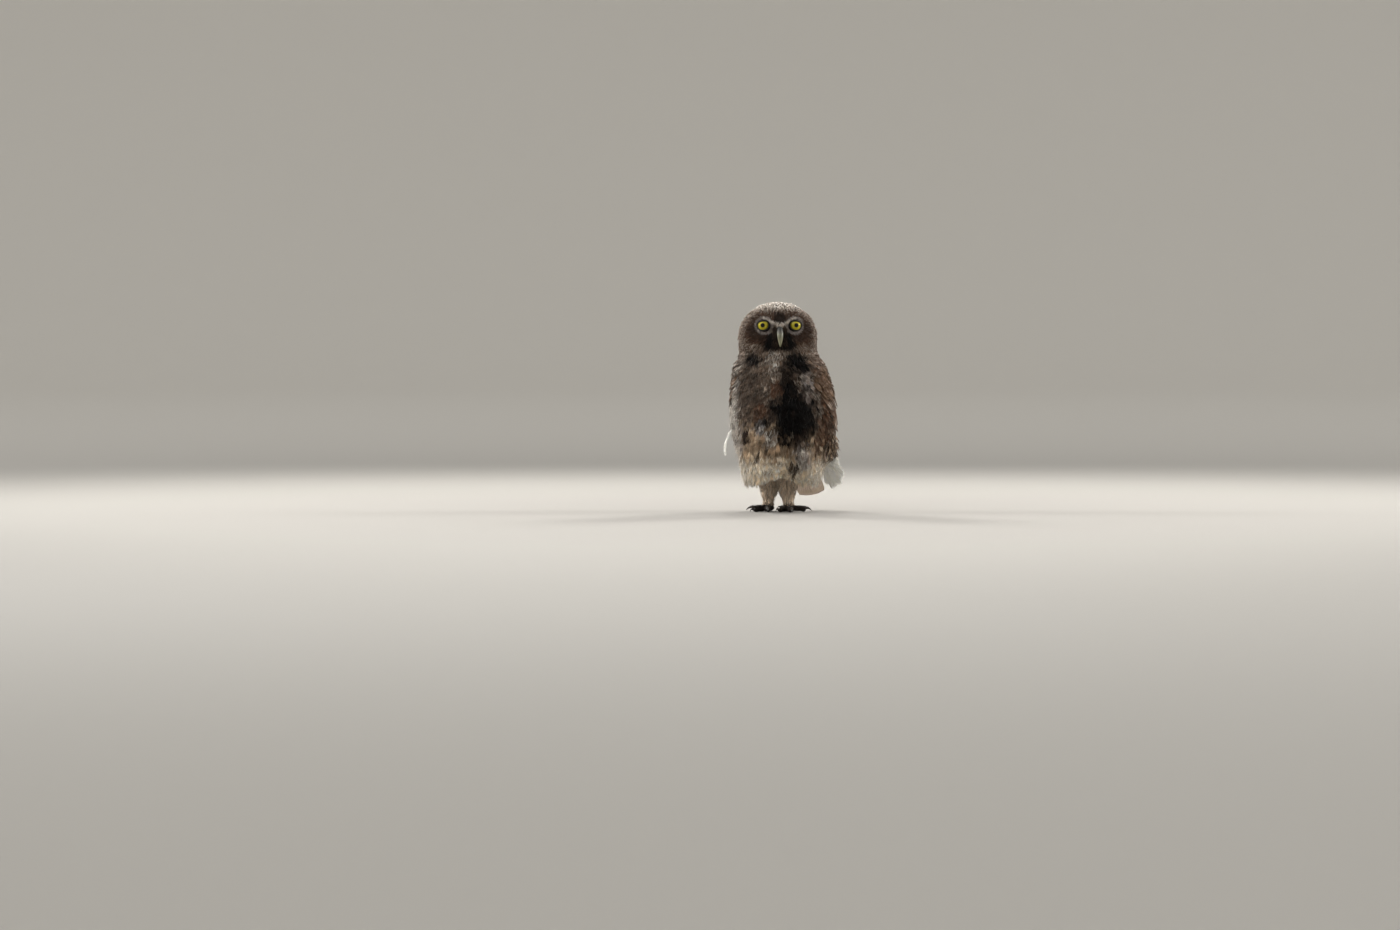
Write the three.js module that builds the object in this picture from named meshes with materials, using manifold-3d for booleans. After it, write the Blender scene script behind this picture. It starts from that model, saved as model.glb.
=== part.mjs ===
// A life-size little owl standing upright on both feet, its head turned towards its own left.
// Millimetres, +Z up, the breast facing -Y and the owl's own left wing on the +X side.
// Every feathered form is a closed solid: the body is lofted from level rings, the wings, tail and
// ragged belly feathers are vanes that follow it, and neighbours keep a thin gap.
import * as THREE from "three";
import { mergeVertices } from "three/addons/utils/BufferGeometryUtils.js";
import Module from "manifold-3d";

const wasm = await Module();
wasm.setup();

const GAP = 0.35; // clearance between neighbouring pieces
const LEFT = 1; // sign of the owl's own left side, along X
const RIGHT = -1;

// The body's level rings: height, half width, depth to the breast, depth to the back, centre.
// The ends of the table lie outside the torso, so that hanging feathers can follow it further.
const BODY = [
  { z: 20, side: 35, front: 26, back: 30, x: 2.5, y: 4 },
  { z: 45, side: 41, front: 35, back: 37, x: 3.5, y: 3 },
  { z: 65, side: 45.5, front: 41, back: 40, x: 4.5, y: 2 },
  { z: 85, side: 49.5, front: 45, back: 41.5, x: 5, y: 1 },
  { z: 105, side: 51, front: 46, back: 42, x: 5, y: 0 },
  { z: 125, side: 49.5, front: 43, back: 42, x: 4, y: 0 },
  { z: 143, side: 45.5, front: 37.5, back: 39, x: 2.5, y: -1 },
  { z: 158, side: 41.8, front: 33.5, back: 37.5, x: 1.3, y: -2.5 },
  { z: 178, side: 40.5, front: 32, back: 36, x: 0.8, y: -4 },
];
// Below the flanks the folded wings leave the body and hang outside the rump and tail.
const WING_WRAP = [
  { z: 15, side: 42, front: 30, back: 60, x: 6, y: 3 },
  { z: 40, side: 48, front: 37, back: 51, x: 6.5, y: 2 },
  { z: 62, side: 51.5, front: 42, back: 45, x: 6.5, y: 1.5 },
  { z: 85, side: 52, front: 45, back: 42, x: 6, y: 1 },
  { z: 105, side: 52, front: 46, back: 42, x: 5.5, y: 0 },
  ...BODY.filter((ring) => ring.z > 110),
];
const TORSO = { bottom: 36, top: 172, round: 10, rings: 11, sides: 30 };
const NECK_BOTTOM = 149; // thin cuts part the body here and at the chin
const HEAD_BOTTOM = 160.5;

const HEAD = { x: 0.8, y: -4, z: 179, turn: 21, side: 40.8, front: 32, back: 36, height: 36 };
const JOWL = { depth: 31, power: 0.5 }; // the head's lower half, squarer than an ellipsoid
const NAPE = 173; // below this height the head's surface runs over into the neck's
const FACE_FLATNESS = 0.8; // below 1 the facial disc is flatter than an ellipsoid
// The face's relief, in the head's own x and z: heights stand forward, reach is how far each one fades.
const FACE = {
  hollow: { depth: 2.6, reach: 9 }, // round each eye
  brow: { height: 2.8, reach: 4.6, from: [2, 13], to: [25, 21.5] },
  bridge: { height: 3.8, reach: 5, from: [0, 13], to: [0, -5] },
  cheek: { height: 1.3, reach: 9, x: 19, z: -8 },
  rim: { height: 0.9, reach: 3, x: 12, z: 3, radius: 24 }, // the edge of the facial disc
};
const EYE = { x: 15.7, y: -21, z: 11.7, radius: 7.2, outward: 12 };
const LID = { reach: 5, radius: 6.1, thick: 1.5 };
const BILL = {
  rise: 9.8, // height of its base over the head's centre
  tip: -10.4,
  reach: 38.8, // how far its curve stands in front of the head's centre
  width: 7.4,
  depth: 8.6,
};
const NOSTRIL = { x: 2.7, y: -33, z: 6.4, radius: 1 };

// Tiers of ragged belly and flank feathers: height of their roots, stretch in degrees, and sizes.
const HANGING = [
  { z: 76, from: -80, to: 82, count: 7, length: 28, width: 16, rise: [0, 1.5] },
  { z: 59, from: -98, to: 100, count: 8, length: 26, width: 16, rise: [-0.2, 1.8] },
  { z: 47, from: -130, to: 106, count: 11, length: 18, width: 13.5, rise: [-0.8, 1.5] },
  { z: 50, from: 112, to: 245, count: 6, length: 21, width: 16, rise: [-0.5, 2.5] }, // under the tail
];
// White plumes of the owl's left flank, as places in space.
const PLUMES = [
  { root: [34, 20, 58], tip: [53, 29, 41], width: 9 },
  { root: [33, 20, 54], tip: [57.5, 33, 28], width: 10 },
  { root: [31, 21, 50], tip: [48, 32, 21.5], width: 10 },
  { root: [33, 16, 52], tip: [45, 25, 30], width: 10 },
];
const PLUME = { arch: 4, thick: 1.8, point: 0.8, facing: [0.3, -1, 0.2] };
// The loose plume's points: height on the body and how far they stand off it.
const LOOSE_PLUME = { degrees: -79, points: [[86, -2], [81, 5], [70, 12.5], [57, 16.5]], radius: [1.1, 0.5] };

// The folded wing is laid out in height and in degrees round the body, from breast to back.
const WING = {
  top: 151,
  shoulder: 15, // how far the pad's top drops towards its front and back corners
  bottom: 62,
  thick: 4.4, // of the pad at the shoulder
  thin: 1.2, // of the pad under the flight feathers
};
// Rows of wing feathers, each from its first feather to its last: roots and tips as height and degrees.
const FLIGHT_ROWS = [
  {
    count: 5, // primaries
    roots: [[98, 84], [108, 108]],
    tips: [[52, 129], [33, 171]],
    width: 15,
    rise: [2.6, 1.8],
    sink: [2.4, 0.9],
    tilt: -0.55,
    point: 0.35,
  },
  {
    count: 6, // secondaries
    roots: [[110, 106], [130, 150]],
    tips: [[43, 172], [84, 172]],
    width: 13.5,
    rise: [3.6, 2.8],
    sink: [3.4, 1.1],
    tilt: -0.5,
    point: 0.15,
  },
];
const COVERT_ROWS = [
  {
    count: 5, // greater coverts
    roots: [[112, 75], [132, 142]],
    tips: [[86, 95], [103, 166]],
    width: 16.5,
    rise: [4, 5],
    sink: [4, 2.8],
    tilt: -0.4,
  },
  {
    count: 5, // middle coverts
    roots: [[127, 64], [140, 126]],
    tips: [[107, 78], [119, 146]],
    width: 14,
    rise: [4.6, 5.8],
    sink: [4, 2.8],
    tilt: -0.35,
  },
  {
    count: 4, // shoulder coverts
    roots: [[139, 59], [146, 112]],
    tips: [[123, 66], [131, 130]],
    width: 13.5,
    rise: [3.8, 5.9],
    sink: [3.8, 3],
    tilt: -0.3,
  },
  {
    count: 4, // scapulars
    roots: [[143, 112], [143, 154]],
    tips: [[113, 126], [116, 165]],
    width: 15,
    rise: [3.6, 5.8],
    sink: [3.6, 2.6],
    tilt: -0.3,
  },
];

const TAIL = { root: [4, 34, 86], tip: [19, 59, 18.5], vanes: 8, fan: 2.2, width: 10.5, thick: 0.9 };

const UNDERTAIL = { reach: 56, width: 12, out: -4.6, thick: 2.4 };
const RUMP = { run: 24, length: 27, side: 15, out: -2.4, depth: 4.6 }; // the oval base that carries the tail

const ANKLE = { x: 11, y: 1, z: 9 };
const PALM = { radius: 7, rise: 3.4, height: 4.4 };
const SHANK = [
  { t: 0, radius: 9.8 },
  { t: 0.35, radius: 9.3 },
  { t: 0.6, radius: 7.1 },
  { t: 0.85, radius: 5.9 },
  { t: 1, radius: 6.2 },
];
const TOES = [
  { name: "1", heading: 168, length: 14, radius: 2.8 }, // the hind toe
  { name: "2", heading: -16, length: 18, radius: 3.1 },
  { name: "3", heading: 24, length: 21.5, radius: 3.2 },
  { name: "4", heading: 96, length: 18, radius: 2.9 }, // the outer toe, turned sideways
];
const CLAW = { length: 9, radius: 1.6 };

const MATERIALS = {
  crown: { color: 0x55453a, roughness: 0.9 },
  throat: { color: 0x8d8378, roughness: 0.9 },
  breast: { color: 0x6d5c4e, roughness: 0.9 },
  wing: { color: 0x4c392c, roughness: 0.85 },
  tail: { color: 0xa08d7b, roughness: 0.85 },
  leg: { color: 0xa8947e, roughness: 0.9 },
  toe: { color: 0x2b221d, roughness: 0.7 },
  claw: { color: 0x17130f, roughness: 0.35 },
  bill: { color: 0x8f9078, roughness: 0.4 },
  eye: { color: 0xd8c21a, roughness: 0.08 },
};

const radians = THREE.MathUtils.degToRad;
const mix = THREE.MathUtils.lerp;
const vector = (x, y, z) => new THREE.Vector3(x, y, z);

// Solids: a three.js geometry with its shared vertices merged becomes one that can be cut or joined.

function solid(geometry) {
  const bare = geometry.clone();
  Object.keys(bare.attributes).forEach((name) => name !== "position" && bare.deleteAttribute(name));
  const merged = mergeVertices(bare, 1e-4);
  const corners = merged.index.array;
  const kept = [];
  for (let i = 0; i < corners.length; i += 3) {
    const [a, b, c] = [corners[i], corners[i + 1], corners[i + 2]];
    if (a !== b && b !== c && c !== a) kept.push(a, b, c);
  }
  const made = closed(merged.attributes.position.array, kept);
  if (made.volume() > 0) return made;
  for (let i = 0; i < kept.length; i += 3) [kept[i], kept[i + 1]] = [kept[i + 1], kept[i]];
  return closed(merged.attributes.position.array, kept);
}

function closed(positions, corners) {
  const vertProperties = new Float32Array(positions);
  const triVerts = new Uint32Array(corners);
  return new wasm.Manifold(new wasm.Mesh({ numProp: 3, vertProperties, triVerts }));
}

function joined(solids) {
  return wasm.Manifold.union(solids);
}

// The largest closed body of a solid, without the loose scraps that a cut leaves.
function largest(made) {
  return made.decompose().reduce((best, next) => (next.volume() > best.volume() ? next : best));
}

function meshOf(name, made, material) {
  const { numProp, vertProperties, triVerts } = largest(made).getMesh();
  const positions = new Float32Array((vertProperties.length / numProp) * 3);
  for (let i = 0; i < positions.length / 3; i++) {
    positions.set(vertProperties.subarray(i * numProp, i * numProp + 3), i * 3);
  }
  const geometry = new THREE.BufferGeometry();
  geometry.setAttribute("position", new THREE.BufferAttribute(positions, 3));
  geometry.setIndex(new THREE.BufferAttribute(new Uint32Array(triVerts), 1));
  const mesh = new THREE.Mesh(geometry.toNonIndexed(), new THREE.MeshStandardMaterial(MATERIALS[material]));
  mesh.geometry.computeVertexNormals();
  mesh.name = name;
  return mesh;
}

// Moves every vertex of a geometry to the place that a function gives it.
function shaped(geometry, place) {
  const positions = geometry.getAttribute("position");
  const point = vector(0, 0, 0);
  for (let i = 0; i < positions.count; i++) {
    const moved = place(point.fromBufferAttribute(positions, i));
    positions.setXYZ(i, moved.x, moved.y, moved.z);
  }
  return geometry;
}

// Smooth curves through a table of stations.

function between(stations, key, name, value) {
  const last = stations.length - 1;
  let i = 0;
  while (i < last - 1 && value > stations[i + 1][key]) i++;
  const [a, b] = [stations[i], stations[i + 1]];
  const slope = (p, q) => (q[name] - p[name]) / (q[key] - p[key]);
  const start = i > 0 ? slope(stations[i - 1], b) : slope(a, b);
  const end = i < last - 1 ? slope(a, stations[i + 2]) : slope(a, b);
  const run = b[key] - a[key];
  const t = THREE.MathUtils.clamp((value - a[key]) / run, 0, 1);
  const [t2, t3] = [t * t, t * t * t];
  return (
    a[name] * (2 * t3 - 3 * t2 + 1) +
    b[name] * (3 * t2 - 2 * t3) +
    run * (start * (t3 - 2 * t2 + t) + end * (t3 - t2))
  );
}

// A point on a level ring: degrees run from the breast round the owl's own left to the back.
function onRing(stations, z, degrees, share = 1, grow = 0) {
  const ring = (name) => between(stations, "z", name, z);
  const angle = radians(degrees);
  const depth = Math.cos(angle) > 0 ? ring("front") : ring("back");
  return vector(
    ring("x") + share * (ring("side") + grow) * Math.sin(angle),
    ring("y") - share * (depth + grow) * Math.cos(angle),
    z,
  );
}

function outward(stations, z, degrees) {
  const step = 0.5;
  const up = onRing(stations, z + step, degrees).sub(onRing(stations, z - step, degrees));
  const round = onRing(stations, z, degrees + step).sub(onRing(stations, z, degrees - step));
  return round.cross(up).normalize();
}

// A point that stands a given distance off the wrapped surface.
function offRing(stations, z, degrees, out) {
  return onRing(stations, z, degrees).addScaledVector(outward(stations, z, degrees), out);
}

// The nearest height and bearing of a point beside the wrapped surface.
function bearing(stations, point) {
  const x = point.x - between(stations, "z", "x", point.z);
  const y = point.y - between(stations, "z", "y", point.z);
  const side = between(stations, "z", "side", point.z);
  const depth = between(stations, "z", y < 0 ? "front" : "back", point.z);
  return { z: point.z, degrees: THREE.MathUtils.radToDeg(Math.atan2(x / side, -y / depth)) };
}

// Vanes: a feather is a plate with a raised shaft line, split alike on both faces. A flat one has
// square edges, and one that is bedded in a coat has sharp edges and a keel.

const ACROSS = [-1, 0, 1]; // left edge, shaft, right edge
const CAMBER = 0.35; // how far the edges lie below the shaft

function plate(steps, top, bottom) {
  const rows = [];
  for (let i = 0; i <= steps; i++) {
    const face = (surface) => ACROSS.map((across) => surface(i / steps, across));
    rows.push([...face(top), ...face(bottom)]);
  }
  return lofted(rows, [[0, 1], [1, 2], [2, 5], [5, 4], [4, 3], [3, 0]]);
}

function keeled(steps, top, bottom) {
  const rows = [];
  for (let i = 0; i <= steps; i++) {
    rows.push([...ACROSS.map((across) => top(i / steps, across)), bottom(i / steps, 0)]);
  }
  return lofted(rows, [[0, 1], [1, 2], [2, 3], [3, 0]]);
}

// Closes rows of points into a solid: each side of the section runs from one of its points to another.
function lofted(rows, sides) {
  const size = rows[0].length;
  const corners = [];
  for (let i = 0; i < rows.length - 1; i++) {
    const [a, b] = [i * size, (i + 1) * size];
    for (const [from, to] of sides) {
      // The lower face takes the diagonal that mirrors the upper one.
      if (from < to) corners.push(a + from, a + to, b + to, a + from, b + to, b + from);
      else corners.push(a + from, a + to, b + from, a + to, b + to, b + from);
    }
  }
  const end = (rows.length - 1) * size;
  if (size === 4) corners.push(0, 3, 1, 1, 3, 2, end, end + 1, end + 3, end + 1, end + 2, end + 3);
  else {
    corners.push(0, 3, 4, 0, 4, 1, 1, 4, 5, 1, 5, 2);
    const far = [0, 4, 3, 0, 1, 4, 1, 5, 4, 1, 2, 5];
    corners.push(...far.map((corner) => end + corner));
  }
  const geometry = new THREE.BufferGeometry();
  const positions = rows.flat().flatMap((point) => [...point]);
  geometry.setAttribute("position", new THREE.Float32BufferAttribute(positions, 3));
  geometry.setIndex(corners);
  return geometry;
}

// Half width of a feather along its length, from a narrow root to a rounded or pointed tip.
function spread(t, point) {
  const root = Math.min(1, 0.5 + 1.4 * t);
  const tip = Math.sqrt(Math.max(0, 1 - ((t - 0.45) / 0.57) ** 2 * (t > 0.45 ? 1 : 0)));
  return root * mix(tip, t > 0.45 ? (1.02 - t) / 0.57 : 1, point);
}

// A feather that lies along a wrapped surface from a root to a tip, both as height and degrees.
//   rise: how far its top stands off the surface at the root and at the tip
//   sink: thickness below the top, so that coverts are bedded in what they grow from
function lyingVane(feather) {
  const { guide, root, tip, width, rise, sink, tilt = 0, point, grow, side = LEFT, flat = false } = feather;
  const centre = (t) => offRing(guide, mix(root[0], tip[0], t), mix(root[1], tip[1], t), 0);
  const edge = (t, across) => {
    const middle = centre(t);
    const along = centre(Math.min(1, t + 0.05)).sub(centre(Math.max(0, t - 0.05))).normalize();
    const place = bearing(guide, middle);
    const sideways = outward(guide, place.z, place.degrees).cross(along).normalize();
    const half = (width / 2) * spread(t, point) + grow;
    return bearing(guide, middle.addScaledVector(sideways, half * across));
  };
  const height = (t, across) => mix(...rise, t) - CAMBER * across * across + tilt * across;
  const placed = (t, across, out) => {
    const reach = t + (grow / 20) * (t - 0.5);
    const at = edge(reach, across);
    const moved = offRing(guide, at.z, at.degrees, out);
    if (side === RIGHT) moved.x = 2 * between(guide, "z", "x", moved.z) - moved.x;
    return moved;
  };
  const top = (t, across) => placed(t, across, height(t, across) + grow);
  const bottom = (t, across) => placed(t, across, height(t, across) - mix(...sink, t) - grow);
  return solid(flat ? plate(3, top, bottom) : keeled(3, top, bottom));
}

// The torso: rings closed by a rounded underside, and by a top that the head hides.

function torsoForm(grow = 0) {
  const { bottom, top, round, rings, sides } = TORSO;
  const profile = [new THREE.Vector2(0, bottom - grow)];
  for (const quarter of [0.28, 0.55, 0.8]) {
    const angle = (quarter * Math.PI) / 2;
    profile.push(new THREE.Vector2(Math.sin(angle), bottom - grow + round * (1 - Math.cos(angle))));
  }
  for (let i = 0; i <= rings; i++) profile.push(new THREE.Vector2(1, mix(bottom + round, top, i / rings)));
  profile.push(new THREE.Vector2(0, top + 1));
  return solid(
    shaped(new THREE.LatheGeometry(profile, sides), (v) => {
      const share = Math.hypot(v.x, v.z);
      const degrees = THREE.MathUtils.radToDeg(Math.atan2(v.x, v.z));
      return onRing(BODY, v.y, degrees, share, grow);
    }),
  );
}

// Ragged belly and flank feathers that hang past the torso's underside, tier by tier.
function hangingFeathers(grow = 0) {
  const made = [];
  HANGING.forEach((tier, row) => {
    for (let i = 0; i < tier.count; i++) {
      const share = (i + (row % 2) * 0.5) / tier.count;
      const degrees = mix(tier.from, tier.to, share);
      const ragged = Math.sin(i * 2.4 + row * 1.7);
      const z = tier.z + 1.8 * Math.sin(i * 3.1 + row);
      made.push(
        lyingVane({
          guide: BODY,
          root: [z, degrees],
          tip: [z - tier.length - 2.5 * ragged, degrees + 3 * Math.sin(i * 1.9)],
          width: tier.width,
          rise: [tier.rise[0], tier.rise[1] + 0.8 * ragged],
          sink: [3, 1],
          point: 0.55,
          grow,
        }),
      );
    }
  });
  return made;
}

// The plumes of the left flank fan out behind the leg with their flat sides forward.
function flankPlumes(grow = 0) {
  return PLUMES.map(({ root, tip, width }) => {
    const along = vector(...tip).sub(vector(...root));
    const over = vector(...PLUME.facing).normalize();
    const across = vector(0, 0, 0).crossVectors(along, over).normalize();
    const surface = (t, sideways, lift) => {
      const reach = t + (grow / 20) * (t - 0.5);
      const half = (width / 2) * spread(Math.min(1, reach), PLUME.point) + grow;
      const place = vector(...root).addScaledVector(along, reach).addScaledVector(across, half * sideways);
      place.z += PLUME.arch * reach * (1 - reach);
      return place.addScaledVector(over, lift - CAMBER * sideways * sideways);
    };
    const lift = PLUME.thick / 2 + grow;
    return solid(keeled(4, (t, sideways) => surface(t, sideways, lift), (t) => surface(t, 0, -lift)));
  });
}

// One loose curved plume that stands off the owl's right flank.
function loosePlume(grow = 0) {
  const { degrees, points, radius } = LOOSE_PLUME;
  const places = points.map(([z, off]) => onRing(BODY, z, degrees).add(vector(-off, 0, 0)));
  return tube(new THREE.CatmullRomCurve3(places), (t) => mix(...radius, t) + grow, 6, 8);
}

// A closed tube of changing thickness along a curve, with an oval section where flat is not 1.
function tube(path, radius, sides, steps, flat = 1) {
  const profile = [new THREE.Vector2(0, 0)];
  for (let i = 0; i <= steps; i++) profile.push(new THREE.Vector2(1, i / steps));
  profile.push(new THREE.Vector2(0, 1));
  const frames = path.computeFrenetFrames(steps, false);
  return solid(
    shaped(new THREE.LatheGeometry(profile, sides), (v) => {
      const t = v.y;
      const i = Math.round(t * steps);
      const point = path.getPointAt(t);
      point.addScaledVector(frames.normals[i], v.x * radius(t));
      return point.addScaledVector(frames.binormals[i], v.z * radius(t) * flat);
    }),
  );
}

// The head: an ellipsoid with a flattened facial disc, brows, eye hollows and a bridge for the bill.

function headPlace(point) {
  return point.applyAxisAngle(vector(0, 0, 1), radians(HEAD.turn)).add(vector(HEAD.x, HEAD.y, HEAD.z));
}

function bump(distance, reach) {
  return Math.exp(-((distance / reach) ** 2));
}

function fromLine(x, z, from, to) {
  const line = new THREE.Line3(vector(from[0], 0, from[1]), vector(to[0], 0, to[1]));
  const point = vector(x, 0, z);
  return line.closestPointToPoint(point, true, vector(0, 0, 0)).distanceTo(point);
}

// How far the face stands forward of the plain form, by the place across and up the face.
function faceRelief(x, z) {
  const across = Math.abs(x);
  const { hollow, brow, bridge, cheek, rim } = FACE;
  return (
    brow.height * bump(fromLine(across, z, brow.from, brow.to), brow.reach) +
    bridge.height * bump(fromLine(across, z, bridge.from, bridge.to), bridge.reach) +
    cheek.height * bump(Math.hypot(across - cheek.x, z - cheek.z), cheek.reach) +
    rim.height * bump(Math.hypot(across - rim.x, z - rim.z) - rim.radius, rim.reach) -
    hollow.depth * bump(Math.hypot(across - EYE.x, z - EYE.z), hollow.reach)
  );
}

function headForm() {
  const { side, front, back, height } = HEAD;
  return solid(
    shaped(new THREE.SphereGeometry(1, 36, 20), (v) => {
      // The sphere's poles lie on Y, and its rings draw close round the bill.
      const polar = Math.PI * (Math.acos(THREE.MathUtils.clamp(v.y, -1, 1)) / Math.PI) ** 1.3;
      const ring = Math.hypot(v.x, v.z) || 1;
      v.set((v.x / ring) * Math.sin(polar), Math.cos(polar), (v.z / ring) * Math.sin(polar));
      const level = Math.hypot(v.x, v.y) || 1;
      const jowl = v.z < 0 ? level ** JOWL.power / level : 1;
      const up = v.z < 0 ? -JOWL.depth * Math.abs(v.z) ** JOWL.power : v.z * height;
      const place = vector(v.x * jowl * side, 0, up);
      const forward = v.y * jowl;
      place.y = forward > 0 ? -front * forward ** FACE_FLATNESS : -back * forward;
      place.y -= faceRelief(place.x, place.z) * THREE.MathUtils.clamp(forward * 2, 0, 1);
      return ontoNeck(headPlace(place), Math.min(1, (level * jowl) / 0.94));
    }),
  );
}

// Draws the lowest part of the head onto the neck's surface, so that no crease parts them.
function ontoNeck(point, share) {
  const blend = THREE.MathUtils.smoothstep(NAPE - point.z, 0, NAPE - HEAD_BOTTOM - 0.6);
  const place = bearing(BODY, point);
  return point.lerp(onRing(BODY, point.z, place.degrees, share), blend);
}

function eyeCentre(side) {
  return vector(side * EYE.x, EYE.y, EYE.z);
}

function eyeAxis(side) {
  return vector(side * Math.sin(radians(EYE.outward)), -Math.cos(radians(EYE.outward)), 0.03).normalize();
}

function eyeBall(side, grow = 0) {
  const ball = new THREE.SphereGeometry(EYE.radius + grow, 15, 9);
  return solid(shaped(ball, (v) => headPlace(v.add(eyeCentre(side)))));
}

// The rims of both lids, as a ring that slopes down towards the bill.
function lidRing(side) {
  const ring = new THREE.TorusGeometry(LID.radius, LID.thick, 6, 16);
  const turn = new THREE.Quaternion().setFromUnitVectors(vector(0, 0, 1), eyeAxis(side));
  return solid(
    shaped(ring, (v) => {
      const brow = v.y > 0 ? 0.88 : 1; // the upper lid sits lower than a full circle
      v.set(v.x, v.y * brow, v.z);
      v.applyQuaternion(turn);
      return headPlace(v.add(eyeCentre(side)).addScaledVector(eyeAxis(side), LID.reach));
    }),
  );
}

function billPath() {
  return new THREE.CatmullRomCurve3([
    vector(0, -24, BILL.rise),
    vector(0, -31.5, BILL.rise - 1.4),
    vector(0, -36.6, BILL.rise - 6.5),
    vector(0, -BILL.reach, -2.5),
    vector(0, -BILL.reach + 0.4, BILL.tip),
  ]);
}

// A curved horn: oval rings along a path in the head's plane of symmetry.
function horn(path, width, depth, steps, sides, grow = 0) {
  const profile = [new THREE.Vector2(0, 0)];
  for (let i = 0; i <= steps; i++) profile.push(new THREE.Vector2(1, i / steps));
  profile.push(new THREE.Vector2(0, 1));
  return solid(
    shaped(new THREE.LatheGeometry(profile, sides), (v) => {
      const t = v.y;
      const along = path.getTangentAt(t);
      const over = vector(0, along.z, -along.y); // square to the path, towards its inner side
      const point = path.getPointAt(t).addScaledVector(over, v.z * (depth(t) / 2 + grow));
      point.x += v.x * (width(t) / 2 + grow);
      return headPlace(point);
    }),
  );
}

function upperBill(grow = 0) {
  const width = (t) => BILL.width * (t < 0.5 ? 1 - 0.1 * t : 0.95 * (1 - ((t - 0.5) / 0.54) ** 1.7));
  const depth = (t) => BILL.depth * (1 - 0.12 * t - 0.86 * t ** 2.2) + 0.3;
  return horn(billPath(), width, depth, 9, 12, grow);
}

function lowerBill(grow = 0) {
  const path = new THREE.CatmullRomCurve3([
    vector(0, -22, -1),
    vector(0, -29, -2.4),
    vector(0, -34.4, -4.6),
    vector(0, -36.6, -8),
  ]);
  return horn(path, (t) => mix(6.2, 2, t * t), (t) => mix(4.6, 1.6, t), 5, 10, grow);
}

function nostrils() {
  return [LEFT, RIGHT].map((side) => {
    const hole = new THREE.SphereGeometry(NOSTRIL.radius, 6, 5);
    return solid(shaped(hole, (v) => headPlace(v.add(vector(side * NOSTRIL.x, NOSTRIL.y, NOSTRIL.z)))));
  });
}

// The folded wing: a pad that carries tiers of coverts, over the long flight feathers.

const WING_FRONT = [
  { z: 30, degrees: 158 },
  { z: 50, degrees: 122 },
  { z: 62, degrees: 106 },
  { z: 78, degrees: 92 },
  { z: 95, degrees: 80 },
  { z: 108, degrees: 70 },
  { z: 122, degrees: 58 },
  { z: 138, degrees: 50 },
  { z: 150, degrees: 56 },
];
const WING_BACK = [
  { z: 30, degrees: 174 },
  { z: 60, degrees: 176 },
  { z: 100, degrees: 175 },
  { z: 126, degrees: 171 },
  { z: 140, degrees: 163 },
  { z: 152, degrees: 150 },
];

function wingPad(side, grow) {
  const [rows, columns] = [8, 6];
  const place = (row, column, out) => {
    const corner = WING.shoulder * Math.abs((2 * column) / columns - 1) ** 2.5;
    const z = mix(WING.bottom - grow, WING.top + grow - corner, row / rows);
    const front = between(WING_FRONT, "z", "degrees", z) - grow;
    const back = between(WING_BACK, "z", "degrees", z) + grow;
    const moved = offRing(WING_WRAP, z, mix(front, back, column / columns), out);
    if (side === RIGHT) moved.x = 2 * between(WING_WRAP, "z", "x", moved.z) - moved.x;
    return moved;
  };
  const thickness = (row, column) => {
    const up = row / rows;
    const round = Math.sin(Math.PI * mix(0.1, 0.94, column / columns)) ** 0.6;
    const depth = mix(WING.thin, WING.thick, THREE.MathUtils.smoothstep(up, 0.2, 0.6));
    return 0.5 + depth * round * Math.min(1, 0.1 + 3 * (1 - up));
  };
  const positions = [];
  for (let row = 0; row <= rows; row++) {
    for (let column = 0; column <= columns; column++) {
      positions.push(...place(row, column, thickness(row, column) + grow));
      positions.push(...place(row, column, -1.2 - grow));
    }
  }
  const corners = [];
  const over = (row, column) => 2 * (row * (columns + 1) + column);
  const quad = (a, b, c, d) => corners.push(a, b, c, a, c, d);
  for (let row = 0; row < rows; row++) {
    for (let column = 0; column < columns; column++) {
      const [a, b] = [over(row, column), over(row, column + 1)];
      const [c, d] = [over(row + 1, column + 1), over(row + 1, column)];
      quad(a, b, c, d);
      corners.push(a + 1, c + 1, b + 1, a + 1, d + 1, c + 1);
    }
    const [f, g] = [over(row, 0), over(row + 1, 0)];
    quad(f, g, g + 1, f + 1);
    const [p, q] = [over(row, columns), over(row + 1, columns)];
    quad(p, p + 1, q + 1, q);
  }
  for (let column = 0; column < columns; column++) {
    const [a, b] = [over(0, column), over(0, column + 1)];
    quad(a, a + 1, b + 1, b);
    const [p, q] = [over(rows, column), over(rows, column + 1)];
    quad(p, q, q + 1, p + 1);
  }
  const geometry = new THREE.BufferGeometry();
  geometry.setAttribute("position", new THREE.Float32BufferAttribute(positions, 3));
  geometry.setIndex(corners);
  return solid(geometry);
}

// A row of feathers whose roots and tips run evenly between two corner feathers.
function featherRow({ count, roots, tips, ...rest }) {
  return Array.from({ length: count }, (_, i) => {
    const share = i / (count - 1);
    const along = (ends) => [mix(ends[0][0], ends[1][0], share), mix(ends[0][1], ends[1][1], share)];
    return lyingVane({ guide: WING_WRAP, root: along(roots), tip: along(tips), ...rest });
  });
}

function wingForm(side, grow = 0) {
  const flight = FLIGHT_ROWS.flatMap((row) => featherRow({ ...row, side, grow, flat: true }));
  const coverts = COVERT_ROWS.flatMap((row) => featherRow({ ...row, side, grow, point: 0.2 }));
  return joined([wingPad(side, grow), ...flight, ...coverts]);
}

// The tail: vanes that fan from one root, the middle pair on top, with coverts at the base.

function tailFrame() {
  const root = vector(...TAIL.root);
  const along = vector(...TAIL.tip).sub(root);
  const length = along.length();
  along.normalize();
  const across = vector(1, 0, 0).addScaledVector(along, -along.x).normalize();
  const over = vector(0, 0, 0).crossVectors(along, across).normalize();
  if (over.y < 0) over.negate();
  return { root, along, across, over, length };
}

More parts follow.
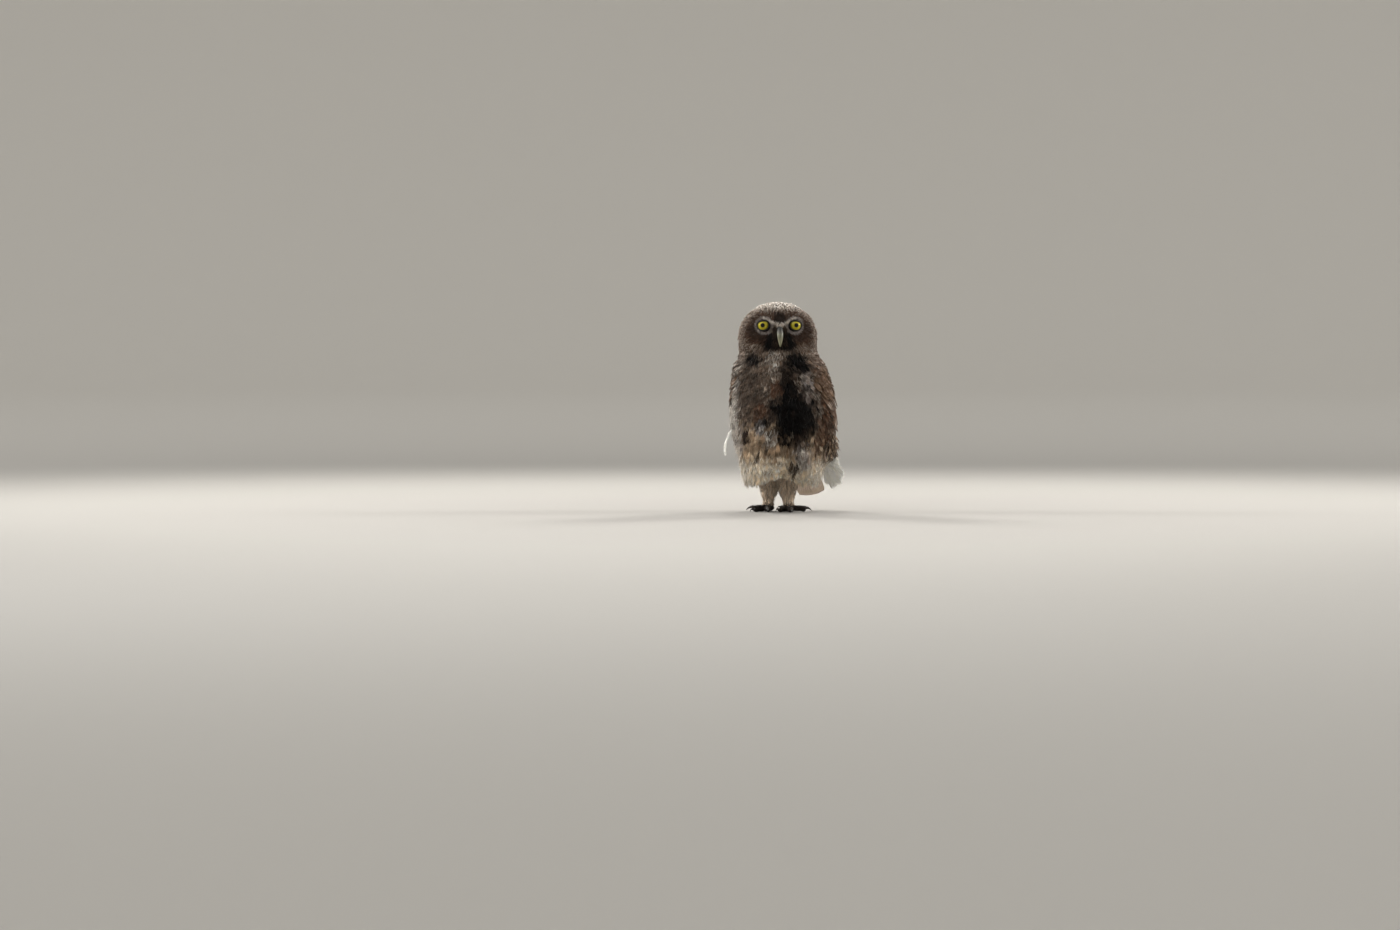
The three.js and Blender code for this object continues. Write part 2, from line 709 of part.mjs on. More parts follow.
function straightVane(frame, { turn, from, to, width, out, thick, tilt, point, drop = 0 }) {
  const angle = radians(turn);
  const surface = (t, sideways, lift) => {
    const run = mix(from, to, t);
    const half = (width / 2) * spread(t, point) * sideways;
    const place = frame.root.clone();
    place.addScaledVector(frame.along, run * Math.cos(angle) - half * Math.sin(angle));
    place.addScaledVector(frame.across, run * Math.sin(angle) + half * Math.cos(angle));
    const camber = tilt * sideways - CAMBER * sideways * sideways - drop * t * t;
    return place.addScaledVector(frame.over, out + camber + lift);
  };
  const face = (lift) => (t, sideways) => surface(t, sideways, lift);
  return solid(plate(3, face(thick / 2), face(-thick / 2)));
}

function tailForm(grow = 0) {
  const frame = tailFrame();
  const vanes = Array.from({ length: TAIL.vanes }, (_, i) => {
    const place = i - (TAIL.vanes - 1) / 2;
    const outer = Math.abs(place);
    return straightVane(frame, {
      turn: TAIL.fan * place,
      from: 8,
      to: frame.length - 0.8 * outer + grow,
      width: TAIL.width + 2 * grow,
      out: -0.42 * outer,
      thick: TAIL.thick + 2 * grow,
      tilt: -0.45 * Math.sign(place),
      point: 0.15,
    });
  });
  const under = [-1, 0, 1].map((place) =>
    straightVane(frame, {
      turn: 6 * place,
      from: 18,
      to: UNDERTAIL.reach - 3 * Math.abs(place),
      width: UNDERTAIL.width,
      out: UNDERTAIL.out + 0.5 * Math.abs(place),
      thick: UNDERTAIL.thick + 2 * grow,
      tilt: 0,
      point: 0.7,
      drop: -1.5,
    }),
  );
  const base = new THREE.SphereGeometry(1, 16, 10);
  shaped(base, (v) => {
    const place = frame.root.clone().addScaledVector(frame.along, RUMP.run + RUMP.length * v.y);
    place.addScaledVector(frame.across, (RUMP.side + grow) * v.x);
    return place.addScaledVector(frame.over, RUMP.out + (RUMP.depth + grow) * v.z);
  });
  return joined([solid(base), ...vanes, ...under]);
}

// Legs and feet: a feathered shank, a low palm and four toes, flat where they rest on the ground.

function shank(side) {
  const path = new THREE.CatmullRomCurve3([
    vector(side * ANKLE.x * 0.86, 2.5, 52),
    vector(side * ANKLE.x * 0.84, 2, 36),
    vector(side * ANKLE.x * 0.92, 1.4, 20),
    vector(side * ANKLE.x, ANKLE.y, 3.5),
  ]);
  return tube(path, (t) => between(SHANK, "t", "radius", t), 14, 9);
}

function toePath(side, toe) {
  const turn = radians(toe.heading) * side;
  const along = vector(Math.sin(turn), -Math.cos(turn), 0);
  const at = (run, z) => vector(side * ANKLE.x, ANKLE.y, z).addScaledVector(along, run);
  return { along, at };
}

function toeForm(side, toe, grow) {
  const { at } = toePath(side, toe);
  const path = new THREE.CatmullRomCurve3([
    at(0, 4.4),
    at(toe.length * 0.35, 3.6),
    at(toe.length * 0.7, 3),
    at(toe.length, 2.5),
  ]);
  const joint = (t, place) => bump(t - place, 0.12);
  const swell = (t) => 0.9 + 0.22 * joint(t, 0.45) + 0.2 * joint(t, 0.86);
  return tube(path, (t) => toe.radius * swell(t) * (t > 0.95 ? 0.72 : 1) + grow, 7, 5);
}

function footForm(side, grow = 0) {
  const palm = new THREE.SphereGeometry(1, 10, 6);
  const across = PALM.radius + grow;
  shaped(palm, (v) => {
    const rise = PALM.rise + PALM.height * v.y;
    return vector(side * ANKLE.x + across * v.x, ANKLE.y + across * v.z, rise);
  });
  return joined([solid(palm), ...TOES.map((toe) => toeForm(side, toe, grow))]);
}

function clawForm(side, toe) {
  const { at } = toePath(side, toe);
  const start = toe.length - 2.2;
  const path = new THREE.CatmullRomCurve3([
    at(start, 3.1),
    at(start + CLAW.length * 0.45, 4.1),
    at(start + CLAW.length * 0.82, 2.7),
    at(start + CLAW.length, 0.55),
  ]);
  return tube(path, (t) => CLAW.radius * (1 - 0.9 * t ** 1.5), 5, 4);
}

// Puts the pieces together: each one is cut clear of those it meets.

function level(made, height, above) {
  return made.trimByPlane(above ? [0, 0, 1] : [0, 0, -1], above ? height : -height);
}

const owl = new THREE.Group();
const add = (name, made, material) => owl.add(meshOf(name, made, material));

const eyes = { left: LEFT, right: RIGHT };
const lids = joined([LEFT, RIGHT].map((side) => lidRing(side)));
const sockets = joined([LEFT, RIGHT].map((side) => eyeBall(side, GAP)));
const upper = upperBill().subtract(joined(nostrils()));
const upperGrown = upperBill(GAP);
const lower = lowerBill().subtract(upperGrown);
const billGrown = lowerBill(GAP).add(upperGrown);

const head = level(headForm(), HEAD_BOTTOM, true).add(lids).subtract(sockets).subtract(billGrown);
const neck = level(level(torsoForm(), HEAD_BOTTOM - GAP, false), NECK_BOTTOM, true);
const loose = (grow) => [...hangingFeathers(grow), ...flankPlumes(grow), loosePlume(grow)];
const plumage = (grow) => joined([torsoForm(grow), ...loose(grow)]);
const torso = level(plumage(0), NECK_BOTTOM - GAP, false);
const torsoGrown = plumage(GAP);

add("head", head, "crown");
add("neck", neck, "throat");
add("torso", torso, "breast");
add("bill_upper", upper, "bill");
add("bill_lower", lower, "bill");
for (const [name, side] of Object.entries(eyes)) {
  add(`eye_${name}`, eyeBall(side), "eye");
}
for (const [name, side] of Object.entries(eyes)) {
  add(`wing_${name}`, wingForm(side).subtract(torsoGrown), "wing");
}
const wingsGrown = joined([LEFT, RIGHT].map((side) => wingForm(side, GAP)));
add("tail", tailForm().subtract(torsoGrown).subtract(wingsGrown), "tail");
for (const [name, side] of Object.entries(eyes)) {
  const leg = shank(side);
  add(`leg_${name}`, level(leg, ANKLE.z, true).subtract(torsoGrown), "leg");
  const ankle = level(leg, ANKLE.z - GAP, false);
  add(`foot_${name}`, level(footForm(side).add(ankle), 0, true), "toe");
  const footGrown = footForm(side, GAP);
  for (const toe of TOES) {
    add(`claw_${name}_${toe.name}`, level(clawForm(side, toe).subtract(footGrown), 0, true), "claw");
  }
}

// The origin is the middle of the whole owl's box, on the ground.
const box = new THREE.Box3().setFromObject(owl);
const middle = box.getCenter(vector(0, 0, 0));
owl.children.forEach((mesh) => mesh.geometry.translate(-middle.x, -middle.y, -box.min.z));

export default owl;
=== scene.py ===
"""A life-size little owl: skin, feathers, eyes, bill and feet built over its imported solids.

Lengths are millimetres in the frame that the solids were drawn in: x and y are 0 midway between the
ankles, the breast faces -Y and the owl's own left is on the +X side. Each mesh is put in metres, in the
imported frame, when it is finished.
"""
import logging
import math
from dataclasses import dataclass, field
from enum import Enum
from typing import Callable, Iterable, Sequence

import bmesh
import bpy
import numpy as np
from mathutils import Matrix, Vector
from mathutils.bvhtree import BVHTree


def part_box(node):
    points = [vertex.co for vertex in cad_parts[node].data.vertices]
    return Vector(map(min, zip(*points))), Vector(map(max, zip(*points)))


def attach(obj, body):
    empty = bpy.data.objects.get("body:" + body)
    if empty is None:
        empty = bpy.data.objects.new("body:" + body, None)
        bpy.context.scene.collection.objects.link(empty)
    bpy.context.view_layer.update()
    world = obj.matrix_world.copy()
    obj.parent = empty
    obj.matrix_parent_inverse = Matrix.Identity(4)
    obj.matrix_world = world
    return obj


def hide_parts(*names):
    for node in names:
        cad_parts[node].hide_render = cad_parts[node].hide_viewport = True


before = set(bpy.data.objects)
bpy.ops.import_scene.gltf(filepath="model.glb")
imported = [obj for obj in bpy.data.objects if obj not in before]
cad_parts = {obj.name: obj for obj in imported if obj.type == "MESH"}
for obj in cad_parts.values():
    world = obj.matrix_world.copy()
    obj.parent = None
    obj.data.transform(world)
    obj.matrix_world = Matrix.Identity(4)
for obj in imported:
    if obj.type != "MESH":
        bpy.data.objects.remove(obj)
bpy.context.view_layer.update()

log = logging.getLogger("little_owl")

MM = 0.001
SEED = 4899
PATCH = 0.003  # width of one feather's patch on its bake map
CELLS = 256  # patches along a side of a bake map
LARGE = (24, 0.036)  # patches along a side and their width, for long feathers
SMALL = (48, 0.018)
UP = np.array([0, 0, 1.0])
ASIDE = np.array([1.0, 0, 0])

Array = np.ndarray
Draw = np.random.Generator
Net = bmesh.types.BMesh
Finish = bpy.types.Material
Piece = bpy.types.Object
Socket = bpy.types.NodeSocket


class Side(Enum):
    """The owl's own sides, as signs along X."""

    LEFT = 1
    RIGHT = -1

    @property
    def word(self) -> str:
        """The side as it stands in a piece's name."""
        return self.name.lower()


def linear(code: int) -> Array:
    """Gives the linear colour of a hexadecimal sRGB code."""
    srgb = np.array([(code >> 16) & 255, (code >> 8) & 255, code & 255]) / 255
    return np.where(srgb <= 0.04045, srgb / 12.92, ((srgb + 0.055) / 1.055) ** 2.4)


class Tone(Enum):
    """The plumage's colours."""

    SOOT = 0x0D0B0B
    UMBER = 0x241A15
    LOAM = 0x40352D
    BARK = 0x432F22
    RUST = 0x533A2D
    ASH = 0x57473B
    MOUSE = 0x73665B
    LILAC = 0x857C78
    BUFF = 0x98826B
    CREAM = 0xCFBEA6
    PALE = 0xBAB0A5
    IVORY = 0xCCBA9F
    WHITE = 0xF2EEE6
    PINK = 0xCBAA9A

    @property
    def colour(self) -> Array:
        """The linear colour."""
        return linear(self.value)


def smooth(low: float, high: float, value: Array) -> Array:
    """Rises smoothly from 0 at low to 1 at high."""
    t = np.clip((value - low) / (high - low), 0, 1)
    return t * t * (3 - 2 * t)


def bump(distance: Array, reach: float) -> Array:
    """Falls from 1 at no distance to nearly 0 at twice the reach."""
    return np.exp(-((distance / reach) ** 2))


def unit(vectors: Array) -> Array:
    """Scales vectors to a length of 1."""
    return vectors / np.maximum(np.linalg.norm(vectors, axis=-1, keepdims=True), 1e-9)


def mix(a: Array, b: Array, share: Array) -> Array:
    """Runs from a to b as the share goes from 0 to 1."""
    return a + (b - a) * share


def between(keys: Array, values: Array, at: Array) -> Array:
    """Reads a smooth curve through a table.

    Args:
        keys: The table's rising keys.
        values: One row of values for each key.
        at: The keys to read the curve at.

    Returns:
        One row of values for each place.
    """
    slopes = np.empty_like(values)
    slopes[1:-1] = (values[2:] - values[:-2]) / (keys[2:] - keys[:-2])[:, None]
    slopes[0] = (values[1] - values[0]) / (keys[1] - keys[0])
    slopes[-1] = (values[-1] - values[-2]) / (keys[-1] - keys[-2])
    i = np.clip(np.searchsorted(keys, at, side="right") - 1, 0, len(keys) - 2)
    run = (keys[i + 1] - keys[i])[..., None]
    t = np.clip((at - keys[i])[..., None] / run, 0, 1)
    rise = 3 * t**2 - 2 * t**3
    return (
        values[i] * (1 - rise)
        + values[i + 1] * rise
        + run * (slopes[i] * (t**3 - 2 * t**2 + t) + slopes[i + 1] * (t**3 - t**2))
    )


@dataclass(frozen=True)
class Ring:
    """A level ring of the body: its height, half width, depth to the breast and back, and centre."""

    height: float
    side: float
    front: float
    back: float
    x: float
    y: float


@dataclass
class Girth:
    """A surface wrapped round the body through its level rings."""

    rings: Sequence[Ring]
    keys: Array = field(init=False)
    values: Array = field(init=False)

    def __post_init__(self) -> None:
        """Sorts the rings into a table."""
        rows = np.array([[r.height, r.side, r.front, r.back, r.x, r.y] for r in self.rings])
        self.keys, self.values = rows[:, 0], rows[:, 1:]

    def point(self, height: Array, bearing: Array, share: Array = 1.0) -> Array:
        """Gives places on the surface.

        Args:
            height: Heights.
            bearing: Degrees from the breast round the owl's own left to the back.
            share: How far out from the axis to the surface each place lies.

        Returns:
            The places.
        """
        height, bearing = np.broadcast_arrays(np.asarray(height, float), np.asarray(bearing, float))
        side, front, back, x, y = np.moveaxis(between(self.keys, self.values, height), -1, 0)
        angle = np.radians(bearing)
        depth = np.where(np.cos(angle) > 0, front, back)
        return np.stack(
            [x + share * side * np.sin(angle), y - share * depth * np.cos(angle), height], axis=-1
        )

    def outward(self, height: Array, bearing: Array) -> Array:
        """Gives the surface's outward directions."""
        step = 0.5
        up = self.point(height + step, bearing) - self.point(height - step, bearing)
        around = self.point(height, bearing + step) - self.point(height, bearing - step)
        return unit(np.cross(around, up))

    def off(self, height: Array, bearing: Array, out: Array) -> Array:
        """Gives places that stand a distance off the surface."""
        return self.point(height, bearing) + self.outward(height, bearing) * np.asarray(out)[..., None]

    def bearing(self, points: Array) -> tuple[Array, Array]:
        """Gives the heights and bearings of places near the surface."""
        height = points[..., 2]
        side, front, back, x, y = np.moveaxis(between(self.keys, self.values, height), -1, 0)
        dx, dy = points[..., 0] - x, points[..., 1] - y
        depth = np.where(dy < 0, front, back)
        return height, np.degrees(np.arctan2(dx / side, -dy / depth))

    def middle(self, height: Array) -> Array:
        """Gives how far along X the axis lies at some heights."""
        return between(self.keys, self.values, height)[..., 3]


BODY = Girth([
    Ring(20, 35, 26, 30, 2.5, 4),
    Ring(45, 41, 35, 37, 3.5, 3),
    Ring(65, 45.5, 41, 40, 4.5, 2),
    Ring(85, 49.5, 45, 41.5, 5, 1),
    Ring(105, 51, 46, 42, 5, 0),
    Ring(125, 49.5, 43, 42, 4, 0),
    Ring(143, 45.5, 37.5, 39, 2.5, -1),
    Ring(158, 41.8, 33.5, 37.5, 1.3, -2.5),
    Ring(178, 40.5, 32, 36, 0.8, -4),
])
WING_WRAP = Girth([
    Ring(15, 42, 30, 60, 6, 3),
    Ring(40, 48, 37, 51, 6.5, 2),
    Ring(62, 51.5, 42, 45, 6.5, 1.5),
    Ring(85, 52, 45, 42, 6, 1),
    Ring(105, 52, 46, 42, 5.5, 0),
    *[ring for ring in BODY.rings if ring.height > 110],
])


@dataclass(frozen=True)
class HeadShape:
    """The head: an ellipsoid with a flat facial disc, brows, eye hollows and a bridge for the bill."""

    centre: tuple[float, float, float] = (0.8, -4, 179)
    turn: float = 21  # degrees towards the owl's own left
    side: float = 40.8
    front: float = 32
    back: float = 36
    height: float = 36
    jowl_depth: float = 31
    jowl_power: float = 0.5
    flatness: float = 0.8
    nape: float = 173  # below this height the head runs over into the neck
    bottom: float = 160.5
    eye: tuple[float, float, float] = (15.7, -21, 11.7)
    eye_radius: float = 7.2
    eye_outward: float = 12

    def out(self, local: Array) -> Array:
        """Turns places in the head's own frame into places on the owl."""
        turn = math.radians(self.turn)
        x = local[..., 0] * math.cos(turn) - local[..., 1] * math.sin(turn)
        y = local[..., 0] * math.sin(turn) + local[..., 1] * math.cos(turn)
        return np.stack([x, y, local[..., 2]], axis=-1) + np.array(self.centre)

    def local(self, points: Array) -> Array:
        """Turns places on the owl into the head's own frame."""
        turn = math.radians(self.turn)
        d = points - np.array(self.centre)
        x = d[..., 0] * math.cos(turn) + d[..., 1] * math.sin(turn)
        y = -d[..., 0] * math.sin(turn) + d[..., 1] * math.cos(turn)
        return np.stack([x, y, d[..., 2]], axis=-1)

    def eye_centre(self, side: Side) -> Array:
        """Gives an eye's centre in the head's own frame."""
        x, y, z = self.eye
        return np.array([side.value * x, y, z])

    def eye_axis(self, side: Side) -> Array:
        """Gives the direction an eye looks in, in the head's own frame."""
        angle = math.radians(self.eye_outward)
        return unit(np.array([side.value * math.sin(angle), -math.cos(angle), 0.03]))

    def relief(self, x: Array, z: Array) -> Array:
        """Gives how far the face stands forward of the plain form, from the place across and up."""
        across = np.abs(x)
        eye = np.hypot(across - self.eye[0], z - self.eye[2])
        brow = segment_distance(across, z, (2, 13), (25, 21.5))
        bridge = segment_distance(across, z, (0, 13), (0, -5))
        return (
            2.8 * bump(brow, 4.6)
            + 3.8 * bump(bridge, 5)
            + 1.3 * bump(np.hypot(across - 19, z + 8), 9)
            + 0.9 * bump(np.hypot(across - 12, z - 3) - 24, 3)
            - 2.6 * bump(eye, 9)
            - 7.5 * (1 - smooth(4.9, 6.4, eye))
        )

    def surface(self, sphere: Array, inset: float) -> Array:
        """Shapes a unit sphere, with its poles on Y, into the head.

        Args:
            sphere: Places on the unit sphere.
            inset: How deep the skin lies under the tips of the plumage.

        Returns:
            Places on the owl.
        """
        z, x, y = sphere[:, 2], sphere[:, 0], sphere[:, 1]
        level = np.maximum(np.hypot(x, y), 1e-6)
        jowl = np.where(z < 0, level ** (self.jowl_power - 1), 1)
        up = np.where(z < 0, -self.jowl_depth * np.abs(z) ** self.jowl_power, z * self.height)
        forward = y * jowl
        place_y = np.where(
            forward > 0, -self.front * np.abs(forward) ** self.flatness, -self.back * forward
        )
        place_x = x * jowl * self.side
        place_y -= self.relief(place_x, up) * np.clip(forward * 2, 0, 1)
        local = np.stack([place_x, place_y, up], axis=-1)
        local *= 1 - inset / np.maximum(np.linalg.norm(local, axis=1, keepdims=True), 20)
        return self.onto_neck(self.out(local), np.minimum(1, level * jowl / 0.94), inset)

    def onto_neck(self, points: Array, share: Array, inset: float) -> Array:
        """Draws the lowest part of the head onto the neck."""
        blend = smooth(0, self.nape - self.bottom - 0.6, self.nape - points[:, 2])
        height, bearing = BODY.bearing(points)
        neck = BODY.point(height, bearing, share * (1 - inset / 40))
        return mix(points, neck, blend[:, None])


def segment_distance(x: Array, z: Array, start: Sequence[float], end: Sequence[float]) -> Array:
    """Gives the distances of places on a plane from a stretch of line."""
    line = np.array(end, float) - np.array(start, float)
    share = ((x - start[0]) * line[0] + (z - start[1]) * line[1]) / (line @ line)
    share = np.clip(share, 0, 1)
    return np.hypot(x - start[0] - share * line[0], z - start[1] - share * line[1])


HEAD = HeadShape()
ANKLE = (11.0, 1.0, 9.0)
SHANK = ((0, 9.8), (0.35, 9.3), (0.6, 7.1), (0.85, 5.9), (1, 6.2))  # share down the leg, radius


@dataclass(frozen=True)
class Toe:
    """A toe: the way it points in degrees from straight ahead outwards, its length and radius."""

    heading: float
    length: float
    radius: float


TOES = (Toe(168, 14, 2.8), Toe(-16, 18, 3.1), Toe(24, 21.5, 3.2), Toe(96, 18, 2.9))
CLAW_LENGTH = 9.0
CLAW_RADIUS = 1.6


def frame_shift() -> Array:
    """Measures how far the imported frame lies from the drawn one, on the left eye."""
    low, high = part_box("eye_left")
    packed = (np.array(low) + np.array(high)) / 2 / MM
    return HEAD.out(HEAD.eye_centre(Side.LEFT)) - packed


SHIFT = frame_shift()


def packed(points: Array) -> Array:
    """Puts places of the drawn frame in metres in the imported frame, none under the floor."""
    spots = (points - SHIFT) * MM
    spots[..., 2] = np.maximum(spots[..., 2], 2e-5)
    return spots


class Curve:
    """A smooth curve through points, read by its share from start to end."""

    def __init__(self, points: Sequence[Sequence[float]]) -> None:
        """Keeps the points with their distances along the curve."""
        self.values = np.array(points, float)
        steps = np.linalg.norm(np.diff(self.values, axis=0), axis=1)
        self.keys = np.concatenate([[0], np.cumsum(steps)]) / steps.sum()

    def at(self, share: Array) -> Array:
        """Gives places on the curve."""
        return between(self.keys, self.values, np.asarray(share, float))

    def along(self, share: Array) -> Array:
        """Gives the curve's directions."""
        share = np.asarray(share, float)
        return unit(self.at(np.minimum(1, share + 0.02)) - self.at(np.maximum(0, share - 0.02)))


# Mesh building


def vertices_of(verts: Iterable[bmesh.types.BMVert]) -> Array:
    """Reads vertices' places."""
    return np.array([v.co for v in verts], float)


def place_vertices(verts: Iterable[bmesh.types.BMVert], places: Array) -> None:
    """Moves vertices."""
    for vertex, place in zip(verts, places):
        vertex.co = place


def add_ball(mesh: Net, around: int, rings: int, shape: Callable[[Array], Array]) -> None:
    """Adds a unit sphere, shaped by a function.

    Args:
        mesh: The mesh that it is added to.
        around: Faces round its equator.
        rings: Faces from pole to pole.
        shape: Gives each place on the sphere its new place.
    """
    made = bmesh.ops.create_uvsphere(mesh, u_segments=around, v_segments=rings, radius=1)["verts"]
    place_vertices(made, shape(vertices_of(made)))


def extrude_rings(mesh: Net, sections: Sequence[Array]) -> tuple[list, list]:
    """Draws a capped ring out through a row of rings that have the same number of points.

    Args:
        mesh: The mesh that it is added to.
        sections: The rings' places, from root to tip.

    Returns:
        The last ring's vertices and edges.
    """
    verts = bmesh.ops.create_circle(mesh, segments=len(sections[0]), radius=1, cap_ends=True)["verts"]
    place_vertices(verts, sections[0])
    edges = list({e for v in verts for e in v.link_edges})
    for section in sections[1:]:
        grown = bmesh.ops.extrude_edge_only(mesh, edges=edges)["geom"]
        fresh = {g for g in grown if isinstance(g, bmesh.types.BMVert)}
        verts = [next(e.other_vert(v) for e in v.link_edges if e.other_vert(v) in fresh) for v in verts]
        place_vertices(verts, section)
        edges = [g for g in grown if isinstance(g, bmesh.types.BMEdge) and set(g.verts) <= fresh]
    return verts, edges


def add_tube(
    mesh: Net, curve: Curve, width: Callable[[float], float], depth: Callable[[float], float],
    aside: Array, count: int, sides: int, pointed: bool = False,
) -> None:
    """Adds a closed form through oval rings along a curve.

    Args:
        mesh: The mesh that it is added to.
        curve: The line of the rings' centres.
        width: Gives the half width at a share of the curve.
        depth: Gives the half depth at a share of the curve.
        aside: The direction that the width is measured in.
        count: Rings.
        sides: Points on each ring.
        pointed: Draws the last ring together in one point.
    """
    turns = np.linspace(0, 2 * math.pi, sides, endpoint=False)
    rings = []
    for share in np.linspace(0, 1, count):
        along = curve.along(share)
        across = unit(aside - along * (along @ aside))
        over = np.cross(along, across)
        ring = np.outer(np.cos(turns), across) * width(share) + np.outer(np.sin(turns), over) * depth(share)
        rings.append(curve.at(share) + ring)
    verts, edges = extrude_rings(mesh, rings)
    if pointed:
        bmesh.ops.pointmerge(mesh, verts=verts, merge_co=Vector(np.mean(rings[-1], axis=0)))
    else:
        bmesh.ops.contextual_create(mesh, geom=edges)


def linked(name: str, data: bpy.types.Mesh, finish: Finish, slot: str, *replaced: str) -> Piece:
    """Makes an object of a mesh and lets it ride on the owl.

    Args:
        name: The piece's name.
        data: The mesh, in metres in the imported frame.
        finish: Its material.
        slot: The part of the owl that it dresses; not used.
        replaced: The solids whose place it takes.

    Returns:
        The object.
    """
    data.materials.append(finish)
    data.shade_smooth()
    made = bpy.data.objects.new(name, data)
    bpy.context.scene.collection.objects.link(made)
    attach(made, "root")
    if replaced:
        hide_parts(*replaced)
    return made


def finished(name: str, mesh: Net, finish: Finish, slot: str, *replaced: str) -> Piece:
    """Makes a piece, as linked does, of a form drawn in millimetres, which is freed."""
    bmesh.ops.recalc_face_normals(mesh, faces=mesh.faces[:])
    place_vertices(mesh.verts, packed(vertices_of(mesh.verts)))
    data = bpy.data.meshes.new(name)
    mesh.to_mesh(data)
    mesh.free()
    return linked(name, data, finish, slot, *replaced)


# Shader work


class Graph:
    """Lays nodes in a node tree."""

    def __init__(self, tree: bpy.types.NodeTree) -> None:
        """Keeps the tree."""
        self.tree = tree

    def feed(self, socket: Socket, value: object) -> None:
        """Links a socket into an input, or sets the input's value."""
        if isinstance(value, Socket):
            self.tree.links.new(value, socket)
        else:
            socket.default_value = (*value, 1.0) if socket.type == "RGBA" else value

    def lay(self, kind: str, inputs: dict, output: str | int = 0, **settings: object) -> Socket:
        """Adds a node.

        Args:
            kind: The shader node's type.
            inputs: What is fed to its inputs, by their names or numbers.
            output: The output that is wanted.
            settings: The node's own options.

        Returns:
            That output.
        """
        made = self.tree.nodes.new(f"ShaderNode{kind}")
        for name, value in settings.items():
            setattr(made, name, value)
        for name, value in inputs.items():
            self.feed(made.inputs[name], value)
        return made.outputs[output]

    def math(self, operation: str, *values: object) -> Socket:
        """Adds a sum."""
        return self.lay("Math", dict(enumerate(values)), operation=operation)

    def mix(self, factor: object, a: object, b: object, blend: str = "MIX") -> Socket:
        """Mixes two colours."""
        given = {"Factor": factor, 6: a, 7: b}
        return self.lay("Mix", given, 2, data_type="RGBA", blend_type=blend, clamp_factor=True)

    def rise(self, value: object, low: float, high: float, start: float = 0.0, end: float = 1.0) -> Socket:
        """Runs smoothly from start to end as a value goes from low to high."""
        given = {"Value": value, "From Min": low, "From Max": high, "To Min": start, "To Max": end}
        return self.lay("MapRange", given, interpolation_type="SMOOTHSTEP")

    def apart(self, vector: object) -> tuple[Socket, ...]:
        """Splits a vector."""
        return tuple(self.lay("SeparateXYZ", {0: vector}).node.outputs)

    def together(self, x: object, y: object, z: object = 0.0) -> Socket:
        """Joins three numbers into a vector."""
        return self.lay("CombineXYZ", {0: x, 1: y, 2: z})

    def noise(self, vector: object, scale: float, detail: float, rough: float) -> Socket:
        """Adds a soft random pattern."""
        given = {"Vector": vector, "Scale": scale, "Detail": detail, "Roughness": rough}
        return self.lay("TexNoise", given, "Fac")

    def cells(self, vector: object, scale: float, feature: str = "F1") -> Socket:
        """Adds a pattern of cells."""
        return self.lay("TexVoronoi", {"Vector": vector, "Scale": scale}, "Distance", feature=feature)

    def attribute(self, name: str) -> Socket:
        """Reads a mesh's own attribute as a vector."""
        return self.lay("Attribute", {}, "Vector", attribute_name=name)

    def uv(self, name: str) -> Socket:
        """Reads a mesh's UV map."""
        return self.lay("UVMap", {}, uv_map=name)

    def place(self) -> Socket:
        """Reads the place on the object."""
        return self.lay("TexCoord", {}, "Object")

    def relief(self, height: object, strength: float, distance: float) -> Socket:
        """Turns a height into a normal."""
        return self.lay("Bump", {"Strength": strength, "Distance": distance, "Height": height})


class Paint(Graph):
    """The nodes of a new material round its shader."""

    def __init__(self, name: str) -> None:
        """Starts the material."""
        self.material = bpy.data.materials.new(name)
        self.material.use_nodes = True
        super().__init__(self.material.node_tree)

    def shaded(self, colour: object, tone: Socket) -> Socket:
        """Multiplies a colour by a tone."""
        return self.mix(1.0, colour, self.together(tone, tone, tone), "MULTIPLY")

    def finish(self, sockets: dict[str, object]) -> Finish:
        """Feeds the shader's sockets, by name, and gives the material."""
        for name, value in sockets.items():
            self.feed(self.tree.nodes["Principled BSDF"].inputs[name], value)
        return self.material


def new_group(
    name: str, inputs: dict[str, str], outputs: dict[str, str]
) -> tuple[Graph, bpy.types.Node, bpy.types.Node]:
    """Starts a shader node group.

    Args:
        name: The group's name.
        inputs: Socket types by name.
        outputs: Socket types by name.

    Returns:
        The group's graph and its input and output nodes.
    """
    tree = bpy.data.node_groups.new(name, "ShaderNodeTree")
    for way, sockets in (("INPUT", inputs), ("OUTPUT", outputs)):
        for socket, kind in sockets.items():
            tree.interface.new_socket(socket, in_out=way, socket_type=f"NodeSocket{kind}")
    return Graph(tree), tree.nodes.new("NodeGroupInput"), tree.nodes.new("NodeGroupOutput")


def barb_group() -> bpy.types.NodeTree:
    """Builds the fine barbs and shaft that every feather shows, from its place across and along the vane."""
    graph, given, out = new_group(
        "feather barbs",
        {"Vane": "Vector", "Count": "Float", "Slant": "Float"},
        {"Barbs": "Float", "Shaft": "Float", "Height": "Float"},
    )
    across, along, _ = graph.apart(given.outputs["Vane"])
    aside = graph.math("ABSOLUTE", graph.math("MULTIPLY_ADD", across, 2.0, -1.0))
    run = graph.math("SUBTRACT", along, graph.math("MULTIPLY", aside, given.outputs["Slant"]))
    stretched = graph.together(
        graph.math("MULTIPLY", across, 2.0), graph.math("MULTIPLY", run, given.outputs["Count"])
    )
    fibres = graph.noise(stretched, 1.0, 3.0, 0.65)
    shaft = graph.rise(aside, 0.02, 0.12, 1.0, 0.0)
    height = graph.math("ADD", fibres, graph.math("MULTIPLY", shaft, 1.2))
    for name, value in (("Barbs", fibres), ("Shaft", shaft), ("Height", height)):
        graph.feed(out.inputs[name], value)
    return graph.tree


